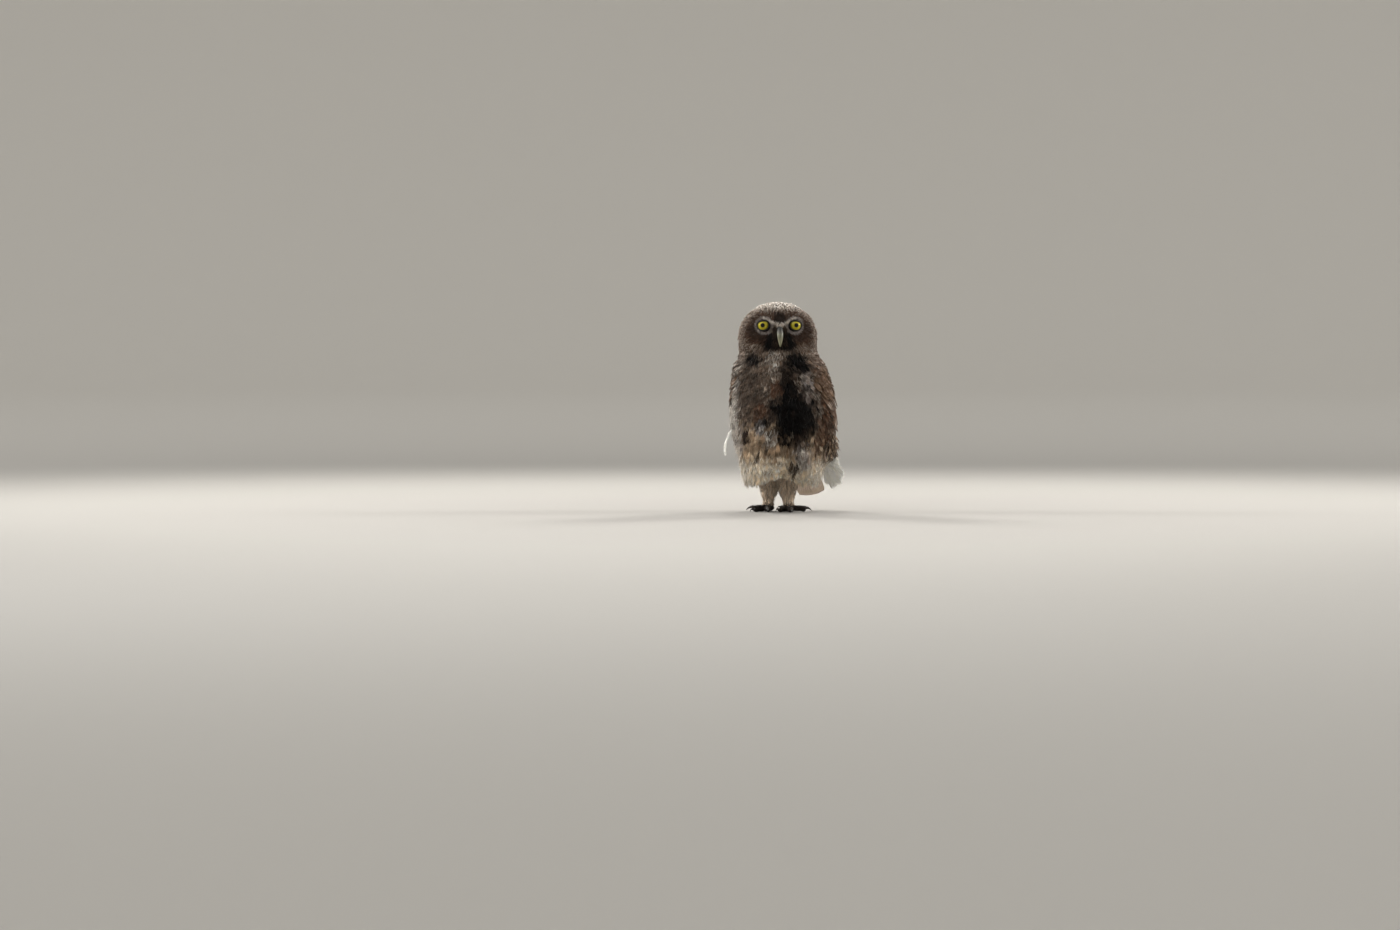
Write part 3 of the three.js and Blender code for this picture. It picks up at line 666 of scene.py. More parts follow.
@dataclass(frozen=True)
class PlumageFinish:
    """Feathers: each carries its own ground and mark colours, laid out as streak, spots and fringe."""

    name: str
    barbs: float = 26.0
    slant: float = 0.3
    depth: float = 0.35
    roughness: float = 0.75
    sheen: float = 0.03
    bars: float = 0.0  # pale bars along a flight feather
    shade: tuple[float, float, float] = (0.52, 0.9, 0.62)  # between barbs, over them, at the root

    def material(self, barb_tree: bpy.types.NodeTree) -> Finish:
        """Builds the material."""
        graph = Paint(self.name)
        vane = graph.uv("Vane")
        given = {"Vane": vane, "Count": self.barbs, "Slant": self.slant}
        barbs = graph.lay("Group", given, "Barbs", node_tree=barb_tree)
        across, along, _ = graph.apart(vane)
        aside = graph.math("ABSOLUTE", graph.math("MULTIPLY_ADD", across, 2.0, -1.0))
        wobble = graph.math("MULTIPLY_ADD", barbs, 0.3, -0.15)
        edge = graph.math("ADD", aside, wobble)
        streak, spots, fringe = graph.apart(graph.attribute("pattern"))
        if self.bars:
            middle = self.bar_mask(graph, edge, graph.math("ADD", along, streak), wobble)
        else:
            inside = graph.rise(edge, 0.15, 0.42, 1.0, 0.0)
            shaft = graph.math("MULTIPLY", inside, graph.rise(along, 0.12, 0.4))
            middle = graph.math("MULTIPLY", shaft, streak)
        tip = graph.rise(graph.math("ADD", along, wobble), 0.78, 0.93)
        rim = graph.math("MAXIMUM", graph.rise(edge, 0.62, 0.86), tip)
        spotted = graph.math("MULTIPLY", self.spot_mask(graph, aside, along, wobble), spots)
        mask = graph.math("MAXIMUM", spotted, graph.math("MULTIPLY", rim, fringe))
        mask = graph.math("MAXIMUM", mask, middle)
        low, gain, root = self.shade
        shade = graph.math("MULTIPLY_ADD", barbs, gain, low)
        shade = graph.math("MULTIPLY", shade, graph.rise(along, 0.0, 0.45, root, 1.0))
        colour = graph.mix(mask, graph.attribute("ground"), graph.attribute("mark"))
        return graph.finish({
            "Base Color": graph.shaded(colour, shade),
            "Roughness": graph.math("MULTIPLY_ADD", barbs, -0.2, self.roughness + 0.1),
            "Normal": graph.relief(barbs.node.outputs["Height"], self.depth, 0.0004),
            "Specular IOR Level": 0.06,
            "Sheen Weight": self.sheen,
            "Sheen Roughness": 0.45,
        })

    def spot_mask(self, graph: Graph, aside: Socket, along: Socket, wobble: Socket) -> Socket:
        """Lays a round spot on each web near the tip."""
        out = graph.math("SUBTRACT", aside, 0.5)
        down = graph.math("MULTIPLY", graph.math("SUBTRACT", along, 0.74), 2.1)
        far = graph.math("MULTIPLY_ADD", out, out, graph.math("MULTIPLY", down, down))
        return graph.rise(graph.math("MULTIPLY_ADD", wobble, 0.15, far), 0.05, 0.13, 1.0, 0.0)

    def bar_mask(self, graph: Graph, edge: Socket, along: Socket, wobble: Socket) -> Socket:
        """Lays rows of pale spots along both webs of a flight feather."""
        turn = graph.math("MULTIPLY", graph.math("MULTIPLY_ADD", wobble, 0.1, along), self.bars * 2 * math.pi)
        rows = graph.rise(graph.math("SINE", turn), 0.35, 0.95)
        return graph.math("MULTIPLY", graph.math("MULTIPLY", rows, graph.rise(edge, 0.25, 0.55)), 0.7)


@dataclass(frozen=True)
class SkinFinish:
    """Bare and downy skin under the feathers, in the plumage's own markings."""

    name: str = "skin"

    def material(self) -> Finish:
        """Builds the material."""
        graph = Paint(self.name)
        place = graph.place()
        down = graph.noise(place, 900.0, 3.0, 0.6)
        return graph.finish({
            "Base Color": graph.shaded(
                graph.attribute("ground"), graph.math("MULTIPLY_ADD", down, 0.7, 0.35)
            ),
            "Roughness": graph.math("MULTIPLY_ADD", down, -0.15, 0.85),
            "Normal": graph.relief(graph.math("ADD", down, graph.cells(place, 700.0)), 0.6, 0.0006),
            "Specular IOR Level": 0.25,
        })


@dataclass(frozen=True)
class HornFinish:
    """Horn of the bill or the claws: layered growth, and a colour that runs by height from the tip through
    the middle to the base.
    """

    name: str
    base: int
    middle: int
    tip: int
    low: float  # heights in metres between which the tip's colour gives way to the base's
    high: float
    roughness: float
    gloss: float

    def material(self) -> Finish:
        """Builds the material."""
        graph = Paint(self.name)
        place = graph.place()
        clouds = graph.noise(place, 320.0, 4.0, 0.6)
        lines = graph.lay("Mapping", {"Vector": place, "Scale": (900.0, 900.0, 160.0)})
        growth = graph.noise(lines, 1.0, 3.0, 0.6)
        level = graph.math("ADD", graph.apart(place)[2], graph.math("MULTIPLY_ADD", clouds, 0.004, -0.002))
        half = (self.low + self.high) / 2
        colour = graph.mix(graph.rise(level, self.low, half), linear(self.tip), linear(self.middle))
        colour = graph.mix(graph.rise(level, half, self.high), colour, linear(self.base))
        return graph.finish({
            "Base Color": graph.shaded(colour, graph.math("MULTIPLY_ADD", growth, 0.7, 0.62)),
            "Roughness": graph.math("MULTIPLY_ADD", clouds, 0.25, self.roughness - 0.1),
            "Normal": graph.relief(graph.math("ADD", growth, clouds), 0.25, 0.0003),
            "Coat Weight": self.gloss,
            "Coat Roughness": 0.2,
        })


@dataclass(frozen=True)
class EyeFinish:
    """A wet eye: black pupil, olive-yellow iris with radial fibres and a dark outer ring."""

    name: str = "eye"
    pupil: float = 0.3  # radii on the eye's map, whose edge is at 1
    iris: float = 0.79

    def material(self) -> Finish:
        """Builds the material."""
        graph = Paint(self.name)
        u, v, _ = graph.apart(graph.uv("Gaze"))
        x, y = (graph.math("MULTIPLY_ADD", way, 2.0, -1.0) for way in (u, v))
        far = graph.math("SQRT", graph.math("MULTIPLY_ADD", x, x, graph.math("MULTIPLY", y, y)))
        turn = graph.math("ARCTAN2", y, x)
        around = [graph.math("MULTIPLY", graph.math(way, turn), 9.0) for way in ("COSINE", "SINE")]
        spokes = graph.noise(graph.together(*around, graph.math("MULTIPLY", far, 3.0)), 1.0, 4.0, 0.7)
        amber, gold, olive = (linear(code) for code in (0x8A7D12, 0xBDB02A, 0x4A4610))
        ragged = graph.math("MULTIPLY_ADD", spokes, 0.05, far)
        fibre = graph.mix(graph.rise(spokes, 0.3, 0.7), amber, gold)
        iris = graph.mix(graph.rise(ragged, self.iris - 0.2, self.iris + 0.01), fibre, olive)
        iris = graph.mix(graph.rise(far, self.pupil, self.pupil + 0.09, 0.55, 0.0), iris, olive)
        colour = graph.mix(graph.rise(far, self.pupil - 0.012, self.pupil + 0.02), (0.004,) * 3, iris)
        colour = graph.mix(graph.rise(far, self.iris, self.iris + 0.05), colour, (0.012, 0.010, 0.009))
        return graph.finish({
            "Base Color": colour,
            "Roughness": graph.math("MULTIPLY_ADD", spokes, 0.2, 0.3),
            "Normal": graph.relief(spokes, 0.15, 0.0003),
            "Coat Weight": 1.0,
            "Coat Roughness": 0.02,
            "Coat IOR": 1.28,
            "Specular IOR Level": 0.05,
        })


@dataclass(frozen=True)
class WrinkledFinish:
    """Bare skin of the lids and toes: fine wrinkles over a mottled ground."""

    name: str
    dark: int
    light: int
    grain: float
    roughness: float
    depth: float

    def material(self) -> Finish:
        """Builds the material."""
        graph = Paint(self.name)
        place = graph.place()
        scales = graph.cells(place, self.grain, "DISTANCE_TO_EDGE")
        clouds = graph.noise(place, self.grain * 0.35, 3.0, 0.6)
        cloudy = graph.math("MULTIPLY_ADD", clouds, 0.8, 0.2)
        share = graph.math("MULTIPLY", graph.rise(scales, 0.0, 0.22), cloudy)
        return graph.finish({
            "Base Color": graph.mix(share, linear(self.dark), linear(self.light)),
            "Roughness": graph.math("MULTIPLY_ADD", clouds, -0.2, self.roughness + 0.1),
            "Normal": graph.relief(graph.rise(scales, 0.0, 0.3), self.depth, 0.0004),
            "Specular IOR Level": 0.4,
        })


@dataclass(frozen=True)
class FloorFinish:
    """The studio's pale floor, a little deeper in tone where the lamps stand over it: painted shade that
    offsets the pool of the lamps' light near the owl.
    """

    name: str = "floor"
    # painted shade: the deeper tone near the owl, where the lamps' light pools
    near: int = 0x858380
    far: int = 0xDAD8D3
    reach: float = 1.2  # metres from the owl at which the tone is half way between the two

    def material(self) -> Finish:
        """Builds the material."""
        graph = Paint(self.name)
        x, y, _ = graph.apart(graph.place())
        far = graph.math("MULTIPLY_ADD", x, x, graph.math("MULTIPLY", y, y))
        share = graph.math("DIVIDE", far, graph.math("ADD", far, self.reach**2))
        tone = graph.mix(share, linear(self.near), linear(self.far))
        return graph.finish({"Base Color": tone, "Roughness": 0.85, "Specular IOR Level": 0.15})


# Markings


@dataclass(frozen=True)
class Patch:
    """A marking on the body: the middle and half sizes in height and bearing, and how feathers look there."""

    height: float
    bearing: float
    tall: float
    wide: float
    ground: Tone
    mark: Tone
    pattern: tuple[float, float, float] = (0.0, 0.0, 0.0)  # streak, spots, fringe
    strength: float = 1.0
    soft: float = 0.3


@dataclass(frozen=True)
class FacePatch:
    """A marking on the face: a stretch of line in the head's own x and z, mirrored to both sides."""

    start: tuple[float, float]
    end: tuple[float, float]
    reach: float
    ground: Tone
    mark: Tone
    pattern: tuple[float, float, float] = (0.0, 0.0, 0.0)
    strength: float = 1.0
    ring: float = 0.0  # where it is above 0, the marking is a ring this far from the line
    rough: float = 0.25


BODY_PATCHES = (
    Patch(118, 8, 62, 86, Tone.ASH, Tone.PALE, (0.1, 0, 0.5), soft=0.15),
    Patch(120, -34, 30, 30, Tone.LOAM, Tone.MOUSE, (0, 0.1, 0.45), 0.9),
    Patch(66, 4, 26, 92, Tone.BUFF, Tone.CREAM, (0, 0, 0.4), soft=0.2),
    Patch(38, 0, 18, 190, Tone.IVORY, Tone.WHITE, (0, 0, 0.7), soft=0.2),
    Patch(48, 180, 13, 70, Tone.CREAM, Tone.WHITE, (0, 0, 0.7), soft=0.25),
    Patch(88, -66, 34, 20, Tone.LILAC, Tone.WHITE, (0, 0, 0.6), 0.85),
    Patch(130, -62, 26, 14, Tone.MOUSE, Tone.WHITE, (0, 0, 0.7), 0.7),
    Patch(112, 76, 44, 19, Tone.BARK, Tone.MOUSE, (0, 0, 0.35)),
    Patch(134, 47, 19, 6.5, Tone.LILAC, Tone.PALE, (0, 0, 0.5), 0.9),
    Patch(106, 59, 18, 5, Tone.MOUSE, Tone.PALE, (0, 0, 0.5), 0.8),
    Patch(156, 40, 13, 17, Tone.SOOT, Tone.UMBER, (0, 0, 0.3)),
    Patch(159, -27, 9, 14, Tone.SOOT, Tone.UMBER, (0, 0, 0.4)),
    # Painted shade: these three soot-black patches on the breast stand in for shadow.
    Patch(134, 22, 17, 12, Tone.SOOT, Tone.ASH, (0, 0, 0.2), 0.9),
    Patch(100, 28, 31, 30, Tone.SOOT, Tone.UMBER, (0, 0, 0.2)),
    Patch(94, -9, 8, 10, Tone.SOOT, Tone.ASH, (0, 0, 0.2)),
    Patch(72, 38, 10, 13, Tone.UMBER, Tone.MOUSE, (0, 0, 0.4), 0.8),
    Patch(126, 8, 8, 7, Tone.RUST, Tone.BUFF, (0, 0, 0.3), 0.9),
    Patch(104, -12, 9, 10, Tone.RUST, Tone.BUFF, (0, 0, 0.3), 0.9),
    Patch(86, -13, 7, 7, Tone.LILAC, Tone.WHITE, (0, 0, 0.4), 0.95),
    Patch(77, 0, 9, 7, Tone.MOUSE, Tone.WHITE, (0, 0, 0.5), 0.95),
    Patch(80, -37, 8, 8, Tone.UMBER, Tone.ASH, (0, 0, 0.2)),
    Patch(64, -5, 7, 6, Tone.UMBER, Tone.BUFF, (0, 0, 0.3), 0.85),
    Patch(57, 45, 12, 14, Tone.LILAC, Tone.WHITE, (0, 0, 0.5), 0.9),
    Patch(47, 33, 8, 8, Tone.UMBER, Tone.BUFF, (0, 0, 0.2), 0.95),
    Patch(56, -22, 5, 5, Tone.UMBER, Tone.BUFF, (0, 0, 0.2), 0.8),
    Patch(78, 68, 20, 9, Tone.RUST, Tone.BUFF, (0, 0, 0.3), 0.8),
    Patch(168, 2, 6, 60, Tone.MOUSE, Tone.PALE, (0, 0, 0.5), 0.5),
    Patch(158, 5, 11, 9.5, Tone.MOUSE, Tone.WHITE, (0, 0, 0.45)),
)

FACE_PATCHES = (
    FacePatch((9, -4), (14, 3), 20.5, Tone.BARK, Tone.MOUSE, (0, 0, 0.18), rough=0.2),
    FacePatch((22, 2), (27, 6), 7, Tone.UMBER, Tone.ASH, (0, 0, 0.25), 0.7),
    FacePatch((0, 16), (0, 20), 6.0, Tone.SOOT, Tone.BARK, (0, 0, 0.25), 0.8, rough=0.3),
    FacePatch((0, -15), (18, -13), 6, Tone.UMBER, Tone.ASH, (0, 0, 0.35), 0.8),
    FacePatch((0, -20), (26, -12), 4.5, Tone.ASH, Tone.PALE, (0, 0, 0.5)),
    # Painted shade: soot black round and under the bill, for the shadow over the bristly lores.
    FacePatch((1, 6), (9, -9), 8.0, Tone.SOOT, Tone.UMBER, (0, 0, 0.12)),
    FacePatch((0, -2), (0, -14), 7.5, Tone.SOOT, Tone.UMBER, (0, 0, 0.1)),
    FacePatch((15.7, 11.7), (15.7, 11.8), 1.7, Tone.LILAC, Tone.PALE, (0, 0, 0.4), 0.85, ring=8.2),
    FacePatch((0.5, 12.5), (9, 15.5), 1.6, Tone.PALE, Tone.WHITE, (0, 0, 0.4), 0.9),
    FacePatch((9, 15.5), (16, 19.4), 1.5, Tone.PALE, Tone.WHITE, (0, 0, 0.4), 0.9),
    FacePatch((4.5, 10.5), (8, 6.5), 2.2, Tone.MOUSE, Tone.PALE, (0, 0, 0.4), 0.7),
)


CROWN = Patch(0, 0, 1, 1, Tone.BARK, Tone.PALE, (0, 0.8, 0.22))
# The crown's top is painted paler with more white: partly its own spotting, partly a painted highlight for
# the rim light on the top of the head.
BRINK = Patch(0, 0, 1, 1, Tone.MOUSE, Tone.WHITE, (0, 0.75, 0.35))  # the crown's upper edge
NAPE = Patch(0, 0, 1, 1, Tone.MOUSE, Tone.WHITE, (0, 0.4, 0.5), 0.8)


def clumps(height: Array, bearing: Array) -> Array:
    """Draws the same four numbers for feathers that hang together in a clump."""
    row = np.floor((height + 2.5 * np.sin(bearing * 0.23) + 2 * np.sin(bearing * 0.71)) / 6.0).astype(int)
    column = np.floor((bearing + 4 * np.sin(height * 0.31) + 3 * np.sin(height * 0.83)) / 7.0).astype(int)
    return np.random.default_rng(SEED + 40).normal(0, 1, (61, 61, 4))[row % 61, column % 61]


def dressed(ground: Array, mark: Array, pattern: Sequence[float]) -> Array:
    """Joins ground colours, mark colours and patterns as looks, three rows for each feather."""
    return np.stack(np.broadcast_arrays(*(np.atleast_2d(part) for part in (ground, mark, pattern))), axis=1)


@dataclass
class Drawn:
    """A part that differs from feather to feather by random draws of its own."""

    seed: int

    def __post_init__(self) -> None:
        """Starts the draws."""
        self.draw = np.random.default_rng(self.seed)


class Plumage(Drawn):
    """Gives every place on the owl its ground colour, mark colour and pattern."""

    def at(self, points: Array, ragged: float = 1.0) -> Array:
        """Paints places.

        Args:
            points: Places on the owl.
            ragged: How much the markings' edges are broken up, feather by feather.

        Returns:
            Their looks: ground colour, mark colour and pattern.
        """
        count = len(points)
        height, bearing = BODY.bearing(points)
        looks = np.tile(dressed(Tone.BARK.colour, Tone.PALE.colour, (0, 0.38, 0.1)), (count, 1, 1))
        for patch in BODY_PATCHES:
            turn = (bearing - patch.bearing + 180) % 360 - 180
            far = np.hypot((height - patch.height) / patch.tall, turn / patch.wide)
            self.lay(patch, far, patch.soft, ragged, looks)
        self.paint_head(points, ragged, looks)
        clump = clumps(height, bearing)
        odd = self.draw.random((count, 1))
        ground, mark, pattern = np.moveaxis(looks, 1, 0)
        ground = np.where(odd < 0.02 * ragged, mix(ground, mark, 0.7), ground)
        tint = 1 + ragged * (self.draw.normal(0, 0.2, (count, 1)) + 0.2 * clump[:, :1])
        tint = np.clip(tint, 0.3, 1.8) * np.where(odd > 1 - 0.14 * ragged, 0.5, 1)
        pattern[:, 2] *= np.clip(1 + 0.5 * clump[:, 1], 0, 1.8)
        warm = 1 + ragged * self.draw.normal(0, 0.035, (count, 1)) * np.array([1, 0, -1])
        mark = np.clip(mark * (0.6 + tint * 0.4), 0.01, 0.95)
        return dressed(np.clip(ground * tint * warm, 0.003, 0.9), mark, pattern)

    def lay(
        self, patch: Patch | FacePatch, far: Array, soft: float, ragged: float,
        looks: Array, where: Array = 1.0,
    ) -> None:
        """Lays one marking over the looks, in place.

        Args:
            patch: The marking.
            far: How far each place lies from its middle, with its edge at 1.
            soft: How wide its edge is.
            ragged: How much its edge is broken up.
            looks: The looks so far.
            where: The share of it that each place takes.
        """
        jitter = ragged * self.draw.normal(0, 0.16, len(far))
        share = (1 - smooth(1 - soft, 1 + soft, far + jitter)) * patch.strength * where
        wanted = dressed(patch.ground.colour, patch.mark.colour, patch.pattern)
        looks += (wanted - looks) * share[:, None, None]

    def paint_head(self, points: Array, ragged: float, looks: Array) -> None:
        """Paints the crown, the nape and the face, in place."""
        local = HEAD.local(points)
        x, y, z = np.abs(local[:, 0]), local[:, 1], local[:, 2]
        head = smooth(-15, -11, z + 0.25 * np.maximum(y, 0) + 0.12 * x)
        nape = smooth(12, 22, y) * (1 - smooth(1.5, 5.5, np.abs(z + 9 - 0.35 * x))) * smooth(3, 7, x)
        for patch, where in ((CROWN, head), (BRINK, head * smooth(24, 31, z + 0.1 * y)), (NAPE, nape)):
            self.lay(patch, np.zeros(len(x)), patch.soft, ragged, looks, where)
        front = smooth(6, 14, -y) * head
        for patch in FACE_PATCHES:
            far = segment_distance(x, z, patch.start, patch.end)
            far = np.abs(far - patch.ring) if patch.ring else far
            self.lay(patch, far / patch.reach, patch.rough, ragged, looks, front)


# Feathers


@dataclass
class Lie:
    """Where feathers lie: places, outward and sideways directions at even steps from root to tip."""

    points: Array
    over: Array
    across: Array

    @classmethod
    def through(cls, points: Array, outward: Array) -> "Lie":
        """Works out the directions of feathers that lie through rows of places."""
        along = unit(np.gradient(points, axis=1))
        across = unit(np.cross(along, outward))
        return cls(points, np.cross(across, along), across)


@dataclass(frozen=True)
class Stamp:
    """The feather that a field repeats: a thin closed vane, laid out across, along and through."""

    rows: int
    columns: int
    root: float = 0.35  # share of the full width at the root
    swell: float = 0.45  # where it is widest
    tip: float = 0.1  # share of the full width at the tip
    lobes: int = 0  # rows that are split into separate barbs
    keel: bool = False  # the lower face drawn together in one line

    def mesh(self) -> Net:
        """Builds one feather, x from -1 to 1 across, y from 0 to 1 along and z 0 above and -1 below."""
        made = bmesh.new()
        bmesh.ops.create_grid(made, x_segments=self.columns, y_segments=self.rows, size=1)
        halved = Matrix.Translation((0, 0.5, 0)) @ Matrix.Diagonal((1, 0.5, 1, 1))
        bmesh.ops.transform(made, matrix=halved, verts=made.verts)
        if self.lobes:
            self.split(made)
        bmesh.ops.recalc_face_normals(made, faces=made.faces[:])
        if made.faces[0].normal.z < 0:
            bmesh.ops.reverse_faces(made, faces=made.faces[:])
        bmesh.ops.solidify(made, geom=made.faces[:], thickness=1.0)
        for vertex in made.verts:
            if self.keel and vertex.co.z < -0.5:
                vertex.co.x = 0
        bmesh.ops.remove_doubles(made, verts=made.verts, dist=1e-4)
        bmesh.ops.recalc_face_normals(made, faces=made.faces[:])
        return made

    def split(self, made: Net) -> None:
        """Parts the tip into barbs, each drawn out to a point of its own length."""
        start = 1 - self.lobes / self.rows - 1e-3
        inner = [
            e for e in made.edges
            if abs(e.verts[0].co.x - e.verts[1].co.x) < 1e-4
            and abs(e.verts[0].co.x) < 0.99
            and min(v.co.y for v in e.verts) > start
        ]
        bmesh.ops.split_edges(made, edges=inner)
        for face in made.faces:
            middle = face.calc_center_median()
            for vertex in face.verts if middle.y >= start else ():
                depth = (vertex.co.y - start) / (1 - start)
                vertex.co.x += (middle.x - vertex.co.x) * (0.999 if vertex.co.y > 0.999 else 0.3 * depth)
        for vertex in made.verts:
            if vertex.co.y > 0.999:
                barb = int(round((vertex.co.x + 1) * self.columns))
                vertex.co.y += (0.0, -0.09, 0.02, -0.13, -0.03)[barb % 5]
        bmesh.ops.remove_doubles(made, verts=[v for v in made.verts if v.co.y > 0.8], dist=0.01)

    def arrays(self) -> tuple[Array, list[list[int]]]:
        """Gives the feather's places and faces."""
        made = self.mesh()
        made.verts.index_update()
        places = vertices_of(made.verts)
        faces = [[v.index for v in face.verts] for face in made.faces]
        made.free()
        return places, faces

    def spread(
        self, template: Array, lie: Lie, width: Array, thick: Array, camber: Array, roll: Array, sway: Array
    ) -> Array:
        """Spreads the feather's places over every place where a feather lies, with sizes in columns."""
        across, along, through = template.T
        last = lie.points.shape[1] - 1
        where = np.clip(along, 0, 1) * last
        low = np.minimum(np.floor(where).astype(int), last - 1)
        share = (where - low)[None, :, None]
        points = mix(lie.points[:, low], lie.points[:, low + 1], share)
        over = unit(mix(lie.over[:, low], lie.over[:, low + 1], share))
        aside = unit(mix(lie.across[:, low], lie.across[:, low + 1], share))
        turn = roll[..., None] * (0.4 + 0.6 * along)[None, :, None]
        rolled = aside * np.cos(turn) + over * np.sin(turn)
        raised = over * np.cos(turn) - aside * np.sin(turn)
        out = width / 2 * (across * self.breadth(along)) + sway * along**2
        lift = thick * (through * (1 - 0.6 * along)) - camber * across**2
        return points + rolled * out[..., None] + raised * lift[..., None]

    def breadth(self, along: Array) -> Array:
        """Gives the share of the full half width along the feather."""
        grow = mix(self.root, 1, smooth(0, self.swell, along))
        past = np.clip((along - self.swell) / (1 - self.swell), 0, 1)
        return grow * mix(np.sqrt(np.maximum(0, 1 - past**2)), 1, self.tip)


RAGGED = Stamp(rows=4, columns=4, root=0.35, swell=0.55, tip=0.6, lobes=2)
LOCK = Stamp(rows=4, columns=2, root=0.5, swell=0.3, tip=0.0, keel=True)
STRAND = Stamp(rows=3, columns=1, root=0.9, swell=0.3, tip=0.0, keel=True)
COVERT = Stamp(rows=8, columns=6, root=0.5, swell=0.62, tip=0.35, lobes=2)
FLIGHT = Stamp(rows=22, columns=8, root=0.45, swell=0.45, tip=0.22)


def lifted(rise: Array, shares: Array) -> Array:
    """Gives how far feathers stand off between root, middle and tip, whose rises are in three columns."""
    off = rise[:, :1] * (1 - shares) * (1 - 2 * shares) + rise[:, 1:2] * 4 * shares * (1 - shares)
    return off + rise[:, 2:] * shares * (2 * shares - 1)


def wing_swell(height: Array, bearing: Array) -> Array:
    """Gives how far body feathers stand up to lap over the folded wing's front edge."""
    front, _ = wing_edges(height)
    turned = np.abs((bearing + 180) % 360 - 180)
    near = smooth(front - 24, front + 1, turned) * (1 - smooth(front + 12, front + 26, turned))
    gap = np.linalg.norm(WING_WRAP.point(height, bearing) - BODY.point(height, bearing), axis=-1)
    return near * (gap + 2.2) * (1 - smooth(146, 156, height)) * smooth(40, 60, height)


def follow_body(
    height: Array, bearing: Array, heading: Array, length: Array, rise: Array, steps: int = 6
) -> Lie:
    """Lays feathers down the body.

    Args:
        height: Heights of the roots.
        bearing: Bearings of the roots.
        heading: Degrees that each one leans from straight down towards the owl's left, seen from outside.
        length: Their lengths.
        rise: How far root, middle and tip stand off the body, three columns.
        steps: Places along each one.

    Returns:
        Where they lie.
    """
    shares = np.linspace(0, 1, steps)
    lean = np.radians(heading)[:, None]
    run = length[:, None] * shares
    z = height[:, None] - run * np.cos(lean)
    radius = np.linalg.norm(BODY.point(height, bearing)[:, :2] - BODY.values[0, 3:5], axis=1)[:, None]
    turn = bearing[:, None] + np.degrees(run * np.sin(lean) / radius)
    off = lifted(rise, shares) + wing_swell(z, turn) * smooth(0, 0.8, shares)
    over = BODY.outward(z, turn)
    return Lie.through(BODY.point(z, turn) + over * off[..., None], over)


def follow_skin(
    tree: BVHTree, roots: Array, flow: Callable[[Array, Array], Array],
    length: Array, rise: Array, steps: int = 5,
) -> Lie:
    """Lays feathers over the skin, along a flow.

    Args:
        tree: The skin.
        roots: Places on it.
        flow: Gives the way feathers point from places and outward directions.
        length: Their lengths.
        rise: How far root, middle and tip stand off the skin, three columns.
        steps: Places along each one.

    Returns:
        Where they lie.
    """
    place, spots, normals = roots.copy(), [], []
    step = (length / (steps - 1))[:, None]
    for _ in range(steps):
        found = [tree.find_nearest(Vector(p)) for p in place]
        spots.append(np.array([f[0] for f in found]))
        normals.append(unit(np.array([f[1] for f in found])))
        place = spots[-1] + flow(spots[-1], normals[-1]) * step
    over = np.stack(normals, axis=1)
    over = unit(over + 0.5 * (np.roll(over, 1, axis=1) * (np.arange(steps) > 0)[:, None]))
    off = lifted(rise, np.linspace(0, 1, steps))
    return Lie.through(np.stack(spots, axis=1) + over * off[..., None], over)


class Sheet:
    """Shares out a bake map: each feather gets a cell of its own near its root's place on the unwrap."""

    def __init__(self, cells: int) -> None:
        """Starts with every cell free."""
        self.cells = cells
        self.taken: set[tuple[int, int]] = set()

    def spot(self, u: float, v: float) -> tuple[float, float]:
        """Takes the nearest free cell and gives its middle."""
        i, j = int(u * (self.cells - 1)), int(v * (self.cells - 1))
        for reach in range(self.cells):
            for di in range(-reach, reach + 1):
                for dj in {reach - abs(di), abs(di) - reach}:
                    cell = (i + di, j + dj)
                    if cell not in self.taken and 0 <= cell[0] < self.cells and 0 <= cell[1] < self.cells:
                        self.taken.add(cell)
                        return (cell[0] + 0.5) / self.cells, (cell[1] + 0.5) / self.cells
        return u, v


def unwrap(points: Array) -> Array:
    """Unrolls the skin: the way round the body across, the way down over crown and body up the map."""
    height, bearing = BODY.bearing(points)
    local = HEAD.local(points)
    polar = np.degrees(np.arctan2(np.hypot(local[:, 0], local[:, 1]), local[:, 2]))
    on_head = height > 179
    v = np.where(on_head, 1 - polar / 90 * 0.22, 0.78 * height / 179)
    return np.clip(np.stack([(bearing + 180) / 360, v], axis=1), 0, 1)


